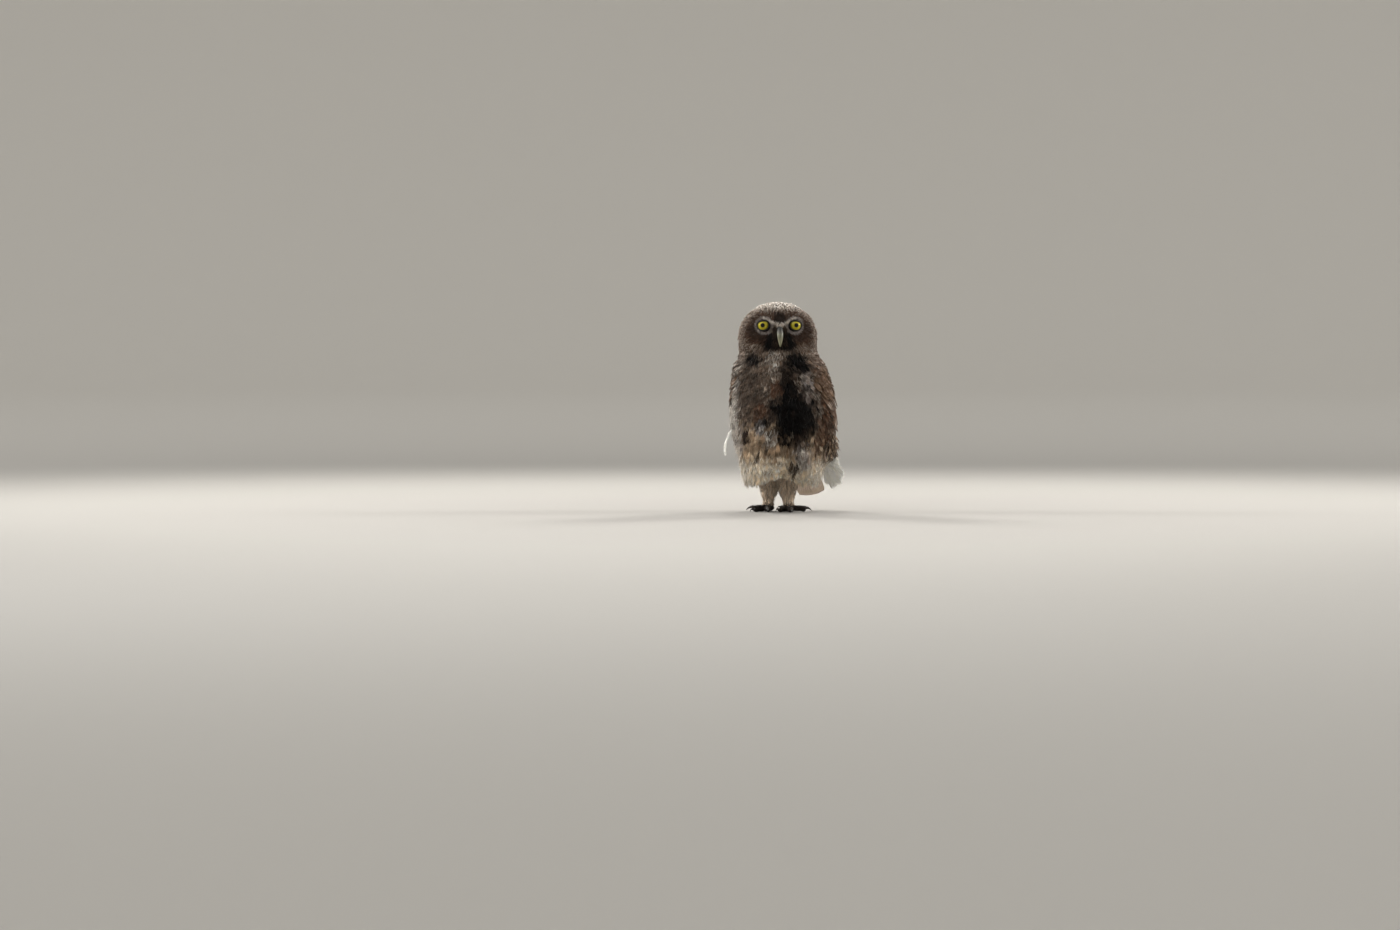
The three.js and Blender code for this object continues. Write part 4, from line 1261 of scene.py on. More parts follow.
@dataclass
class Coat:
    """One piece of plumage: fields of feathers joined in a mesh, with their colours and maps."""

    name: str
    finish: Finish
    slot: str
    cells: int = CELLS
    patch: float = PATCH
    fields: list[tuple[Array, ...]] = field(default_factory=list)
    count: int = 0

    def __post_init__(self) -> None:
        """Starts the bake map."""
        self.sheet = Sheet(self.cells)

    def grow(
        self, stamp: Stamp, lie: Lie, looks: Array, width: Array, thick: Array,
        camber: Array = 0.0, roll: Array = 0.0, sway: Array = 0.0, under: Array | None = None,
    ) -> None:
        """Adds a field of feathers.

        Args:
            stamp: The feather that it repeats.
            lie: Where the feathers lie.
            looks: Their looks, or one feather's.
            width: Their full widths.
            thick: Their thicknesses.
            camber: How far their edges lie under the shaft.
            roll: Radians that they are turned about their shafts.
            sway: How far their tips bend aside.
            under: The ground colour of their lower faces, where it differs.
        """
        template, faces = stamp.arrays()
        feathers = len(lie.points)
        given = (width, thick, camber, roll, sway)
        sizes = (np.broadcast_to(np.asarray(size, float), feathers)[:, None] for size in given)
        vertices = stamp.spread(template, lie, *sizes)
        per = vertices.shape[1]
        flat = np.concatenate([np.array(face) for face in faces])
        corners = flat[None, :] + (self.count + np.arange(feathers)[:, None] * per)
        vane = np.stack([(template[:, 0] + 1) / 2, template[:, 1]], axis=1)[flat]
        spots = np.array([self.sheet.spot(u, v) for u, v in unwrap(vertices[:, 0])])
        bake = spots[:, None, :] + (vane - 0.5)[None] * self.patch
        tones = np.repeat(np.broadcast_to(looks, (feathers, 3, 3)), per, axis=0)
        if under is not None:
            tones[np.tile(template[:, 2] < -0.5, feathers), 0] = under
        self.fields.append((
            vertices.reshape(-1, 3), corners.ravel(), np.tile([len(face) for face in faces], feathers),
            np.tile(vane, (feathers, 1)), bake.reshape(-1, 2), tones,
        ))
        self.count += feathers * per

    def build(self, *replaced: str) -> Piece:
        """Makes the object, which takes the place of some solids."""
        places, corners, sizes, vanes, bakes, tones = (np.concatenate(part) for part in zip(*self.fields))
        data = bpy.data.meshes.new(self.name)
        data.vertices.add(len(places))
        data.vertices.foreach_set("co", packed(places).astype(np.float32).ravel())
        data.loops.add(len(corners))
        data.loops.foreach_set("vertex_index", corners.astype(np.int32))
        data.polygons.add(len(sizes))
        data.polygons.foreach_set("loop_start", np.concatenate([[0], np.cumsum(sizes)[:-1]]).astype(np.int32))
        data.update(calc_edges=True)
        for name, spots in (("Vane", vanes), ("OFBake", bakes)):
            data.uv_layers.new(name=name).uv.foreach_set("vector", spots.astype(np.float32).ravel())
        for i, name in enumerate(("ground", "mark", "pattern")):
            paint_vertices(data, name, tones[:, i])
        return linked(self.name, data, self.finish, self.slot, *replaced)


def paint_vertices(data: bpy.types.Mesh, name: str, tones: Array) -> None:
    """Gives a mesh's vertices an attribute of three numbers."""
    layer = data.attributes.new(name, "FLOAT_VECTOR", "POINT")
    layer.data.foreach_set("vector", tones.astype(np.float32).ravel())


# The owl's parts


@dataclass
class Skin:
    """The owl's unbroken skin: head, neck, torso, wing and tail bases, legs, palms and toes."""

    voxel: float = 1.02  # size of the net's meshes
    inset: float = 3.2  # how deep the body's skin lies under the tips of its plumage
    face_inset: float = 1.5

    def __post_init__(self) -> None:
        """Models the skin and reads its places."""
        self.data = self.model()
        places = np.empty(len(self.data.vertices) * 3, np.float32)
        self.data.vertices.foreach_get("co", places)
        self.points = places.reshape(-1, 3).astype(float)
        self.faces = [tuple(face.vertices) for face in self.data.polygons]
        self.tree = BVHTree.FromPolygons([tuple(p) for p in self.points], self.faces)

    def head(self, sphere: Array) -> Array:
        """Shapes the head from a sphere whose poles are turned to Y."""
        turned = np.stack([sphere[:, 0], sphere[:, 2], -sphere[:, 1]], axis=1)
        return HEAD.surface(turned, self.face_inset)

    def torso(self, sphere: Array) -> Array:
        """Shapes the body's trunk from a sphere."""
        level = np.hypot(sphere[:, 0], sphere[:, 1])
        bearing = np.degrees(np.arctan2(sphere[:, 0], -sphere[:, 1]))
        return BODY.point(106 + 66 * sphere[:, 2], bearing, np.minimum(1, level**0.4) * (1 - self.inset / 46))

    def wing_pad(self, sphere: Array) -> Array:
        """Shapes the left wing's fleshy base from a sphere."""
        height = 108 + 38 * sphere[:, 2]
        share = 0.5 + 0.5 * np.clip(sphere[:, 0] * 1.2, -1, 1)
        front, back = wing_edges(height)
        return WING_WRAP.off(height, mix(front + 8, back - 6, share), 0.4 + 2.2 * sphere[:, 1])

    def right_wing_pad(self, sphere: Array) -> Array:
        """Shapes the right wing's base."""
        return mirrored(WING_WRAP, self.wing_pad(sphere))

    def rump(self, sphere: Array) -> Array:
        """Shapes the base that carries the tail."""
        root, along, across, over, _ = tail_frame()
        place = root + np.outer(22 + 25 * sphere[:, 1], along)
        return place + np.outer(12.5 * sphere[:, 0], across) + np.outer(-2.4 + 3.6 * sphere[:, 2], over)

    def model(self) -> bpy.types.Mesh:
        """Joins the forms in one closed net."""
        made = bmesh.new()
        add_ball(made, 72, 48, self.head)
        add_ball(made, 64, 40, self.torso)
        add_ball(made, 24, 16, self.rump)
        for side, pad in ((Side.LEFT, self.wing_pad), (Side.RIGHT, self.right_wing_pad)):
            add_ball(made, 32, 20, pad)
            Leg(side).add(made)
        bmesh.ops.recalc_face_normals(made, faces=made.faces[:])
        data = bpy.data.meshes.new("skin forms")
        made.to_mesh(data)
        made.free()
        source = bpy.data.objects.new("skin forms", data)
        bpy.context.scene.collection.objects.link(source)
        net = source.modifiers.new("net", "REMESH")
        net.mode, net.voxel_size, net.adaptivity = "VOXEL", self.voxel, 0.0
        soft = source.modifiers.new("soft", "SMOOTH")
        soft.factor, soft.iterations = 0.5, 5
        evaluated = source.evaluated_get(bpy.context.evaluated_depsgraph_get())
        result = bpy.data.meshes.new_from_object(evaluated)
        bpy.data.objects.remove(source)
        bpy.data.meshes.remove(data)
        result.name = "skin"
        return result

    def build(self, finish: Finish, painter: Plumage) -> Piece:
        """Paints the skin and lets it ride on the owl."""
        ground = painter.at(self.points, 0.45)[:, 0]
        height = self.points[:, 2:]
        ground += (Tone.CREAM.colour - ground) * (1 - smooth(34, 42, height))
        # Painted shade: the toes and palms, below 7 to 12 mm, are painted dark brown for the shade that they
        # lie in.
        ground += (Tone.UMBER.colour * 0.8 - ground) * (1 - smooth(7, 12, height))
        paint_vertices(self.data, "ground", ground * 0.8)
        self.data.vertices.foreach_set("co", packed(self.points).astype(np.float32).ravel())
        replaced = ("head", "neck", "torso", "leg_left", "leg_right", "foot_left", "foot_right")
        return linked("skin", self.data, finish, "breast", *replaced)

    def scatter(
        self, where: Callable[[Array], Array], spacing: Callable[[Array], Array], draw: Draw
    ) -> Array:
        """Scatters places over part of the skin, each with room of its own.

        Args:
            where: Tells which places are wanted.
            spacing: Gives the room round a place.
            draw: The random draws.

        Returns:
            The places.
        """
        corners = np.array([[self.points[i] for i in face[:3]] for face in self.faces])
        corners = corners[where(corners.mean(axis=1))]
        first, second, third = np.moveaxis(corners, 1, 0)
        area = np.linalg.norm(np.cross(second - first, third - first), axis=1)
        weight = area / spacing(corners.mean(axis=1)) ** 2
        picks = draw.choice(len(corners), int(weight.sum() * 3.2), p=weight / weight.sum())
        a, b = draw.random((2, len(picks), 1))
        spots = first[picks] + a * (second - first)[picks] + b * (third - second)[picks]
        room = spacing(spots)
        grid: dict[tuple[int, ...], list[int]] = {}
        kept: list[int] = []
        near = [(i, j, k) for i in (-1, 0, 1) for j in (-1, 0, 1) for k in (-1, 0, 1)]
        for i, (x, y, z) in enumerate(map(tuple, np.floor(spots / float(room.max())).astype(int))):
            px, py, pz = spots[i]
            limit = room[i] ** 2
            others = (spots[o] for d in near for o in grid.get((x + d[0], y + d[1], z + d[2]), ()))
            if all((o[0] - px) ** 2 + (o[1] - py) ** 2 + (o[2] - pz) ** 2 >= limit for o in others):
                grid.setdefault((x, y, z), []).append(i)
                kept.append(i)
        return spots[kept]


WING_FRONT = ((30, 158), (50, 122), (62, 106), (78, 92), (95, 80), (108, 70), (122, 58), (138, 50), (150, 56))
WING_BACK = ((30, 174), (60, 176), (100, 175), (126, 171), (140, 163), (152, 150))


def wing_edges(height: Array) -> tuple[Array, Array]:
    """Gives the bearings of the folded wing's front and back edges at some heights."""
    return tuple(np.interp(height, *np.array(edge, float).T) for edge in (WING_FRONT, WING_BACK))


def off_wing(height: Array, bearing: Array, under: float) -> Array:
    """Tells which places are clear of the folded wings, or less than some degrees under their edges."""
    turned = np.abs((bearing + 180) % 360 - 180)
    front, back = wing_edges(height)
    return (turned < front + under) | (turned > back - under)


def mirrored(girth: Girth, points: Array) -> Array:
    """Mirrors places to the owl's right side."""
    moved = points.copy()
    moved[..., 0] = 2 * girth.middle(points[..., 2]) - points[..., 0]
    return moved


def tail_frame() -> tuple[Array, Array, Array, Array, float]:
    """Gives the tail's root, its directions along, across and outwards, and its length."""
    root, tip = np.array([4.0, 34, 86]), np.array([19.0, 59, 18.5])
    along = unit(tip - root)
    across = unit(np.array([1.0, 0, 0]) - along * along[0])
    over = np.cross(along, across)
    over = over if over[1] > 0 else -over
    return root, along, across, over, float(np.linalg.norm(tip - root))


@dataclass
class Leg:
    """A leg with its palm, toes and claws."""

    side: Side
    skin_share: float = 0.8  # of the feathered leg's radius

    def add(self, mesh: Net) -> None:
        """Adds the leg, the palm and the toes."""
        keys, radii = np.array(SHANK, float).T
        x, y, s = ANKLE[0], ANKLE[1], self.side.value
        hip, hock = (s * x * 0.86, 2.5, 52), (s * x * 0.84, 2, 36)
        axis = Curve([hip, hock, (s * x * 0.92, 1.4, 20), (s * x, y, 3.5)])

        def radius(t: float) -> float:
            """Gives the leg's radius."""
            return float(np.interp(t, keys, radii)) * self.skin_share

        add_tube(mesh, axis, radius, radius, ASIDE, 14, 24)
        add_ball(mesh, 24, 16, lambda sphere: np.array([s * x, y, 3.6]) + sphere * np.array([6.6, 6.6, 3.7]))
        for toe in TOES:
            self.add_toe(mesh, toe)

    def heading(self, toe: Toe) -> Array:
        """Gives the direction that a toe points in."""
        turn = math.radians(toe.heading) * self.side.value
        return np.array([math.sin(turn), -math.cos(turn), 0])

    def path(self, toe: Toe, start: float, length: float, steps: Sequence[tuple[float, float]]) -> Curve:
        """Gives a curve along a toe, from shares of a length and heights."""
        ankle, along = np.array([self.side.value * ANKLE[0], ANKLE[1], 0]), self.heading(toe)
        return Curve([ankle + along * (start + length * run) + UP * height for run, height in steps])

    def toe_curve(self, toe: Toe) -> Curve:
        """Gives a toe's axis."""
        return self.path(toe, 0, toe.length, ((0, 4.2), (0.35, 3.5), (0.7, 3.0), (1, 2.7)))

    def add_toe(self, mesh: Net, toe: Toe) -> None:
        """Adds a toe that is swollen at its joints."""

        def radius(t: float) -> float:
            """Gives the toe's radius."""
            swell = 0.88 + 0.2 * bump(t - 0.45, 0.12) + 0.18 * bump(t - 0.86, 0.1)
            return toe.radius * swell * (0.75 if t > 0.97 else 1)

        add_tube(mesh, self.toe_curve(toe), radius, radius, np.cross(self.heading(toe), UP), 14, 16)

    def claws(self, horn: Finish) -> list[Piece]:
        """Models the four claws, each with a rounded back and a sharp point."""
        made = []
        steps = ((0, 3.1), (0.25, 3.95), (0.45, 4.05), (0.66, 3.4), (0.84, 2.3), (1, 0.75))
        for number, toe in enumerate(TOES, 1):
            mesh = bmesh.new()
            add_tube(
                mesh, self.path(toe, toe.length - 2.2, CLAW_LENGTH - 0.3, steps),
                lambda t: CLAW_RADIUS * 0.92 * (1 - 0.93 * t**1.6),
                lambda t: CLAW_RADIUS * 1.02 * (1 - 0.93 * t**1.5),
                np.cross(self.heading(toe), UP), 18, 16, pointed=True,
            )
            claw = f"claw_{self.side.word}_{number}"
            made.append(finished(f"{claw}_horn", mesh, horn, "claw", claw))
        return made

    def scutes(self, mesh: Net) -> None:
        """Adds the plates over the toes' ends."""
        for toe in TOES:
            along = self.heading(toe)
            aside = np.cross(along, UP)
            for share in (0.6, 0.69, 0.78, 0.87, 0.95):
                centre = self.toe_curve(toe).at(share) + UP * toe.radius * 0.55

                def plate(sphere: Array) -> Array:
                    """Shapes a plate from a sphere."""
                    lift = 0.62 * toe.radius * (1 - 0.45 * sphere[:, 0] ** 2) + 0.3 * sphere[:, 2]
                    spread = np.outer(toe.radius * 0.78 * sphere[:, 0], aside)
                    return centre + spread + np.outer(1.05 * sphere[:, 1], along) + np.outer(lift - 0.25, UP)

                add_ball(mesh, 14, 8, plate)


@dataclass(frozen=True)
class Tract:
    """A field of body feathers in staggered rows, by height and bearing."""

    name: str
    top: float
    bottom: float
    start: float
    end: float
    pitch: float
    spacing: float
    length: tuple[float, float]  # at its top and bottom
    width: float
    rise: tuple[float, float, float]
    stamp: Stamp
    under_wing: float = 10.0  # degrees that it reaches under the wing's edge
    stray: float = 9.0
    thick: float = 0.34
    loose: float = 0.5  # spread of the tips' rise

    def roots(self, draw: Draw) -> tuple[Array, Array]:
        """Gives the roots' heights and bearings."""
        heights, bearings = [], []
        step = math.degrees(self.spacing / 46)
        for row, height in enumerate(np.arange(self.top, self.bottom, -self.pitch)):
            turns = np.arange(self.start + (row % 2) * step / 2, self.end, step)
            heights.append(np.full(len(turns), height))
            bearings.append(turns)
        height, bearing = np.concatenate(heights), np.concatenate(bearings)
        height = height + draw.normal(0, self.pitch * 0.28, len(height))
        bearing = bearing + draw.normal(0, step * 0.28, len(bearing))
        free = (height > 148) | off_wing(height, bearing, self.under_wing)
        return height[free], bearing[free]


TRACTS = (
    Tract("throat", 167, 150, -60, 92, 2.2, 2.0, (8, 11), 3.2, (-3.4, -0.8, 1.0), RAGGED),
    Tract("neck", 166, 149, 88, 304, 2.6, 2.4, (9, 12), 4.6, (-3.4, -1.0, 0.8), RAGGED),
    Tract("upper breast", 152, 118, -92, 96, 2.6, 2.4, (11, 14), 4.4, (-3.6, -1.0, 1.3), RAGGED, loose=0.8),
    Tract("breast", 119, 84, -110, 114, 2.8, 2.6, (14, 17), 4.8, (-3.8, -0.9, 1.5), RAGGED, 16, loose=1.0),
    Tract("belly", 86, 54, -128, 130, 2.8, 2.7, (17, 21), 4.8, (-4.0, -0.8, 1.6), RAGGED, 20, 13, loose=1.1),
    Tract("skirt", 56, 41, -128, 116, 2.4, 2.6, (20, 16), 4.6, (-4.5, -1.2, 1.2), RAGGED, 60, 15, loose=1.1),
    Tract("shoulders", 158, 147, 40, 104, 2.4, 2.5, (10, 13), 4.8, (-3.2, 1.2, 3.6), RAGGED, 99),
    Tract("right shoulder", 158, 147, -104, -56, 2.4, 2.5, (10, 13), 4.8, (-3.2, 1.2, 3.6), RAGGED, 99),
    Tract("cape", 160, 140, 100, 260, 2.8, 3.0, (12, 15), 6.6, (-2.6, 2.0, 4.6), COVERT, 99, 5, loose=0.2),
    Tract("mantle", 142, 104, 148, 212, 3.2, 3.4, (14, 17), 7.4, (-2.4, 1.2, 3.4), COVERT, 99, 4, loose=0.2),
    Tract("rump", 106, 56, 120, 240, 3.2, 3.2, (15, 18), 6.0, (-3.6, -1.0, 1.0), RAGGED, 26),
    Tract("vent", 58, 41, 104, 256, 2.8, 3.0, (19, 15), 5.2, (-4.5, -1.0, 1.0), RAGGED, 90, 15),
)


@dataclass(frozen=True)
class Fluff:
    """A field of loose barbs, some pale, that stand out from the coat."""

    top: float
    bottom: float
    start: float
    end: float
    count: int
    length: float
    out: float
    pale: float = 0.05


FLUFF = (
    Fluff(165, 60, -104, 108, 1500, 11, 1.2),
    Fluff(150, 60, -110, -70, 700, 11, 1.8),
    Fluff(66, 48, -180, 180, 1500, 13, 1.6, 0.2),
    Fluff(142, 58, -90, -48, 900, 10, 2.4, 0.6),
    Fluff(62, 42, -100, -40, 360, 15, 2.4, 0.7),
    Fluff(62, 42, 60, 120, 360, 15, 2.4, 0.7),
)
BODY_PIECES = (
    ("coat_throat", "throat", ("throat", "neck")),
    ("coat_upper_breast", "breast", ("upper breast",)),
    ("coat_breast", "breast", ("breast",)),
    ("coat_belly", "breast", ("belly",)),
    ("coat_skirt", "breast", ("skirt", "vent")),
    ("coat_shoulders", "breast", ("shoulders", "right shoulder", "cape")),
    ("coat_back", "breast", ("mantle", "rump")),
)


@dataclass
class BodyCoat(Drawn):
    """The plumage of the neck, breast, belly, flanks and back."""

    painter: Plumage

    def field(self, coat: Coat, tract: Tract) -> None:
        """Adds a tract's feathers to a piece."""
        draw = self.draw
        height, bearing = tract.roots(draw)
        count = len(height)
        share = np.clip((tract.top - height) / (tract.top - tract.bottom), 0, 1)
        length = mix(tract.length[0], tract.length[1], share) * draw.normal(1, 0.1, count)
        length *= 1 - 0.62 * bump(bearing - 12, 21) * (1 - smooth(50, 68, height))
        clump = clumps(height, bearing)
        lift = (draw.normal(0, 0.8, (count, 1)) + 0.7 * clump[:, 2:3]) * tract.loose
        rise = np.tile(np.array(tract.rise), (count, 1)) + lift * np.array([0, 0.3, 1])
        lean = draw.normal(0, tract.stray, count) + 9 * clump[:, 3]
        lie = follow_body(height, bearing, lean, length, rise)
        width = tract.width * draw.normal(1, 0.12, count)
        camber = width**2 / 400 + 0.12 * width
        roll, sway = draw.normal(0, 0.12, count), draw.normal(0, 0.07, count) * length
        coat.grow(tract.stamp, lie, self.painter.at(lie.points[:, 3]), width, tract.thick, camber, roll, sway)

    def strands(self, coat: Coat, fluff: Fluff) -> None:
        """Adds loose barbs."""
        draw = self.draw
        height = draw.uniform(fluff.bottom, fluff.top, fluff.count)
        bearing = draw.uniform(fluff.start, fluff.end, fluff.count)
        free = (height > 148) | off_wing(height, bearing, 4) | (height < 52)
        height, bearing = height[free], bearing[free]
        count = len(height)
        size = fluff.length * draw.normal(1, 0.2, count)
        tip = np.abs(draw.normal(0, 1, count)) * fluff.out
        rise = np.stack([np.full(count, -2.6), 0.3 * tip - 0.5, tip + 0.6], axis=1)
        lie = follow_body(height, bearing, draw.normal(0, 20, count), size, rise)
        ground, mark, pattern = np.moveaxis(self.painter.at(lie.points[:, 4]), 1, 0)
        ground = mix(ground, mix(mark, Tone.WHITE.colour, 0.5), fluff.pale)
        sway = draw.normal(0, 0.12, count) * size
        coat.grow(STRAND, lie, dressed(ground, mark, pattern), 0.3, 0.22, sway=sway)

    def build(self, vane: Finish, thin: Finish) -> list[Piece]:
        """Builds the pieces, the loose barbs in a thin finish."""
        by_name = {tract.name: tract for tract in TRACTS}
        made = []
        for name, slot, tracts in BODY_PIECES:
            coat = Coat(name, vane, slot)
            for tract in tracts:
                self.field(coat, by_name[tract])
            made.append(coat.build())
        loose = Coat("coat_loose_barbs", thin, "breast")
        for fluff in FLUFF:
            self.strands(loose, fluff)
        return [*made, loose.build()]


@dataclass
class HeadCoat(Drawn):
    """The plumage of the face, crown and nape."""

    skin: Skin
    painter: Plumage
    bristle_count: int = 900

    def flow(self, points: Array, normals: Array) -> Array:
        """Gives the way that the head's feathers point: from the bill over the face and crown, then down."""
        local = HEAD.local(points)
        fall = 1.6 * smooth(-4, 18, local[:, 1]) + 0.9 * (1 - smooth(-20, -6, local[:, 2]))
        way = unit(local - np.array([0, -30, 7.0])) - np.outer(fall, UP)
        for side in Side:
            spoke = local - HEAD.eye_centre(side)
            far = np.hypot(spoke[:, 0], spoke[:, 2])
            spoke[:, 1] *= 0.2
            near = 2.4 * bump(far, 13) * smooth(4, 10, -local[:, 1])
            way = way + unit(spoke) * near[:, None]
        way = HEAD.out(way) - np.array(HEAD.centre)
        return unit(way - normals * np.sum(way * normals, axis=1, keepdims=True))

    def eye_distance(self, points: Array) -> Array:
        """Gives how far places on the face lie from the nearer eye's axis."""
        local = HEAD.local(points)
        far = np.hypot(np.abs(local[:, 0]) - HEAD.eye[0], 1.16 * (local[:, 2] - HEAD.eye[2]))
        return np.where(local[:, 1] < -5, far, 99)

    def feathered(self, points: Array) -> Array:
        """Tells where feathers grow: not on the lids nor under the bill."""
        x, y, z = HEAD.local(points).T
        bill = (np.abs(x) < 2.2) & (y < -28) & (z < 6) & (z > -6.5)
        return (z > -15 - 0.1 * y) & (self.eye_distance(points) > 6.6) & ~bill

    def face(self, points: Array) -> Array:
        """Tells how far places belong to the face, 0 to 1."""
        x, y, z = HEAD.local(points).T
        forward = -y - 0.35 * np.maximum(z - 14, 0) - 0.12 * np.abs(x)
        return smooth(4, 12, forward) * (1 - smooth(19, 27, z))

    def spacing(self, points: Array) -> Array:
        """Gives the room that each feather needs."""
        near = 1 - smooth(7, 13, self.eye_distance(points))
        return mix(mix(1.3, 0.84, self.face(points)), 0.74, near)

    def build(self, vane: Finish) -> list[Piece]:
        """Builds the face's and the crown's pieces."""
        roots = self.skin.scatter(self.feathered, self.spacing, self.draw)
        face = self.face(roots)
        front = face > 0.5
        coats = [Coat("coat_face", vane, "crown"), Coat("coat_crown", vane, "crown")]
        self.field(coats[0], roots[front], face[front])
        self.bristles(coats[0])
        self.field(coats[1], roots[~front], face[~front])
        return [coat.build() for coat in coats]

    def field(self, coat: Coat, roots: Array, face: Array) -> None:
        """Adds feathers at the roots, small round the eyes and long at the nape."""
        draw = self.draw
        count = len(roots)
        local = HEAD.local(roots)
        near = 1 - smooth(7, 12, self.eye_distance(roots))
        nape = smooth(0, 25, local[:, 1]) * (1 - smooth(-2, 22, local[:, 2]))
        low = 1 - smooth(-16, -4, local[:, 2])
        length = mix(mix(5.4, 8.6, np.maximum(nape, low * (1 - face))), mix(5.2, 6.2, low), face)
        length = mix(length, 2.5, near) * draw.normal(1, 0.1, count)
        width = mix(mix(1.75, 2.7, nape), 0.8, face) * draw.normal(1, 0.14, count)
        width = mix(width, 0.7, near)
        tip = mix(1.1, 0.6, near) + draw.normal(0, 0.45, count)
        rise = np.stack([np.full(count, -0.5), 0.55 * tip, tip], axis=1)
        lie = follow_skin(self.skin.tree, roots, self.flow, length, rise)
        roll, sway = draw.normal(0, 0.3, count), draw.normal(0, 0.13, count) * length
        looks = self.painter.at(lie.points[:, 3], 0.8)
        coat.grow(LOCK, lie, looks, width, mix(0.3, 0.22, face), 0.16 * width, roll, sway)

    def bristles(self, coat: Coat) -> None:
        """Adds the fine bristles that start beside the bill and sweep forward and down over it."""
        draw = self.draw
        count = self.bristle_count
        side = np.where(draw.random(count) < 0.5, -1, 1)
        share = draw.random(count) ** 1.6
        wide = draw.random(count) ** mix(1.6, 1.0, share)
        root = np.stack(
            [side * mix(0.6 + share, 5.0, wide), -30.5 - 1.2 * (1 - wide), mix(11.5, -6, share)], axis=1
        )
        spread = mix(0.1, 0.75, wide) + draw.normal(0, 0.12, count)
        fall = -draw.uniform(0.5, 1.1, count)
        way = unit(np.stack([side * spread, -0.75 - 0.2 * (1 - share), fall], axis=1))
        length = draw.uniform(4.5, 8.0, count)
        run = np.linspace(0, 1, 5)
        points = root[:, None] + way[:, None] * (length[:, None] * run)[..., None]
        points[..., 2] -= 1.6 * run**2
        points[..., 1] += 1.2 * run**2
        forward = HEAD.out(np.array([0, -1.0, 0])) - np.array(HEAD.centre)
        lie = Lie.through(HEAD.out(points), np.broadcast_to(forward, points.shape))
        # Painted shade: the bristles are painted soot to ash, for the shadow over the lores.
        ground = mix(Tone.SOOT.colour, Tone.ASH.colour, draw.random(count)[:, None] ** 2)
        coat.grow(STRAND, lie, dressed(ground, ground, (0, 0, 0)), 0.34, 0.26)


@dataclass(frozen=True)
class Row:
    """A row of wing feathers whose roots and tips run evenly between two corner feathers."""

    name: str
    count: int
    roots: tuple[tuple[float, float], tuple[float, float]]  # heights and bearings
    tips: tuple[tuple[float, float], tuple[float, float]]
    width: float
    rise: tuple[float, float]
    roll: float
    pattern: tuple[float, float, float] = (0, 0.65, 0.12)
    mark: Tone = Tone.PALE
    flight: bool = False


WING_ROWS = (
    Row(
        "primaries", 9, ((97, 85), (108, 108)), ((52, 130), (34, 170)),
        11.5, (1.6, 1.6), 0.05, (0, 0, 0.35), Tone.BUFF, True,
    ),
    Row(
        "secondaries", 10, ((110, 108), (130, 150)), ((45, 171), (85, 171)),
        11.5, (2.4, 2.4), 0.06, (0, 0, 0.2), Tone.BUFF, True,
    ),
    Row("greater coverts", 13, ((108, 78), (130, 146)), ((84, 96), (101, 168)), 9, (1.6, 3.8), 0.06),
    Row("middle coverts", 14, ((122, 67), (134, 134)), ((102, 80), (115, 152)), 7.8, (1.6, 4.4), 0.06),
    Row(
        "lower lesser coverts", 15, ((131, 61), (139, 132)), ((113, 71), (123, 144)),
        6.8, (1.4, 4.6), 0.05, (0, 0.5, 0.2), Tone.BUFF,
    ),
    Row(
        "lesser coverts", 15, ((138, 57), (145, 128)), ((122, 65), (131, 138)),
        6.4, (1.2, 4.7), 0.05, (0, 0.3, 0.2), Tone.BUFF,
    ),
    Row(
        "upper lesser coverts", 15, ((144, 55), (150, 120)), ((130, 61), (138, 128)),
        6.0, (1.0, 4.4), 0.05, (0, 0.2, 0.25), Tone.BUFF,
    ),
    Row(
        "shoulder coverts", 14, ((149, 56), (154, 112)), ((137, 58), (144, 118)),
        5.8, (0.8, 4.2), 0.05, (0.2, 0.2, 0.25), Tone.BUFF,
    ),
    Row("long scapulars", 7, ((133, 128), (134, 164)), ((105, 142), (107, 171)), 9.5, (3.0, 5.0), 0.04),
    Row(
        "middle scapulars", 8, ((139, 124), (140, 164)), ((114, 136), (116, 169)),
        8.6, (3.0, 5.2), 0.04, (0, 0.5, 0.15),
    ),
    Row("scapulars", 9, ((145, 118), (146, 162)), ((123, 130), (126, 167)), 7.8, (2.8, 5.3), 0.04),
    Row(
        "upper scapulars", 9, ((151, 112), (152, 162)), ((132, 122), (135, 165)),
        7.4, (2.2, 5.0), 0.04, (0, 0.4, 0.2), Tone.BUFF,
    ),
)
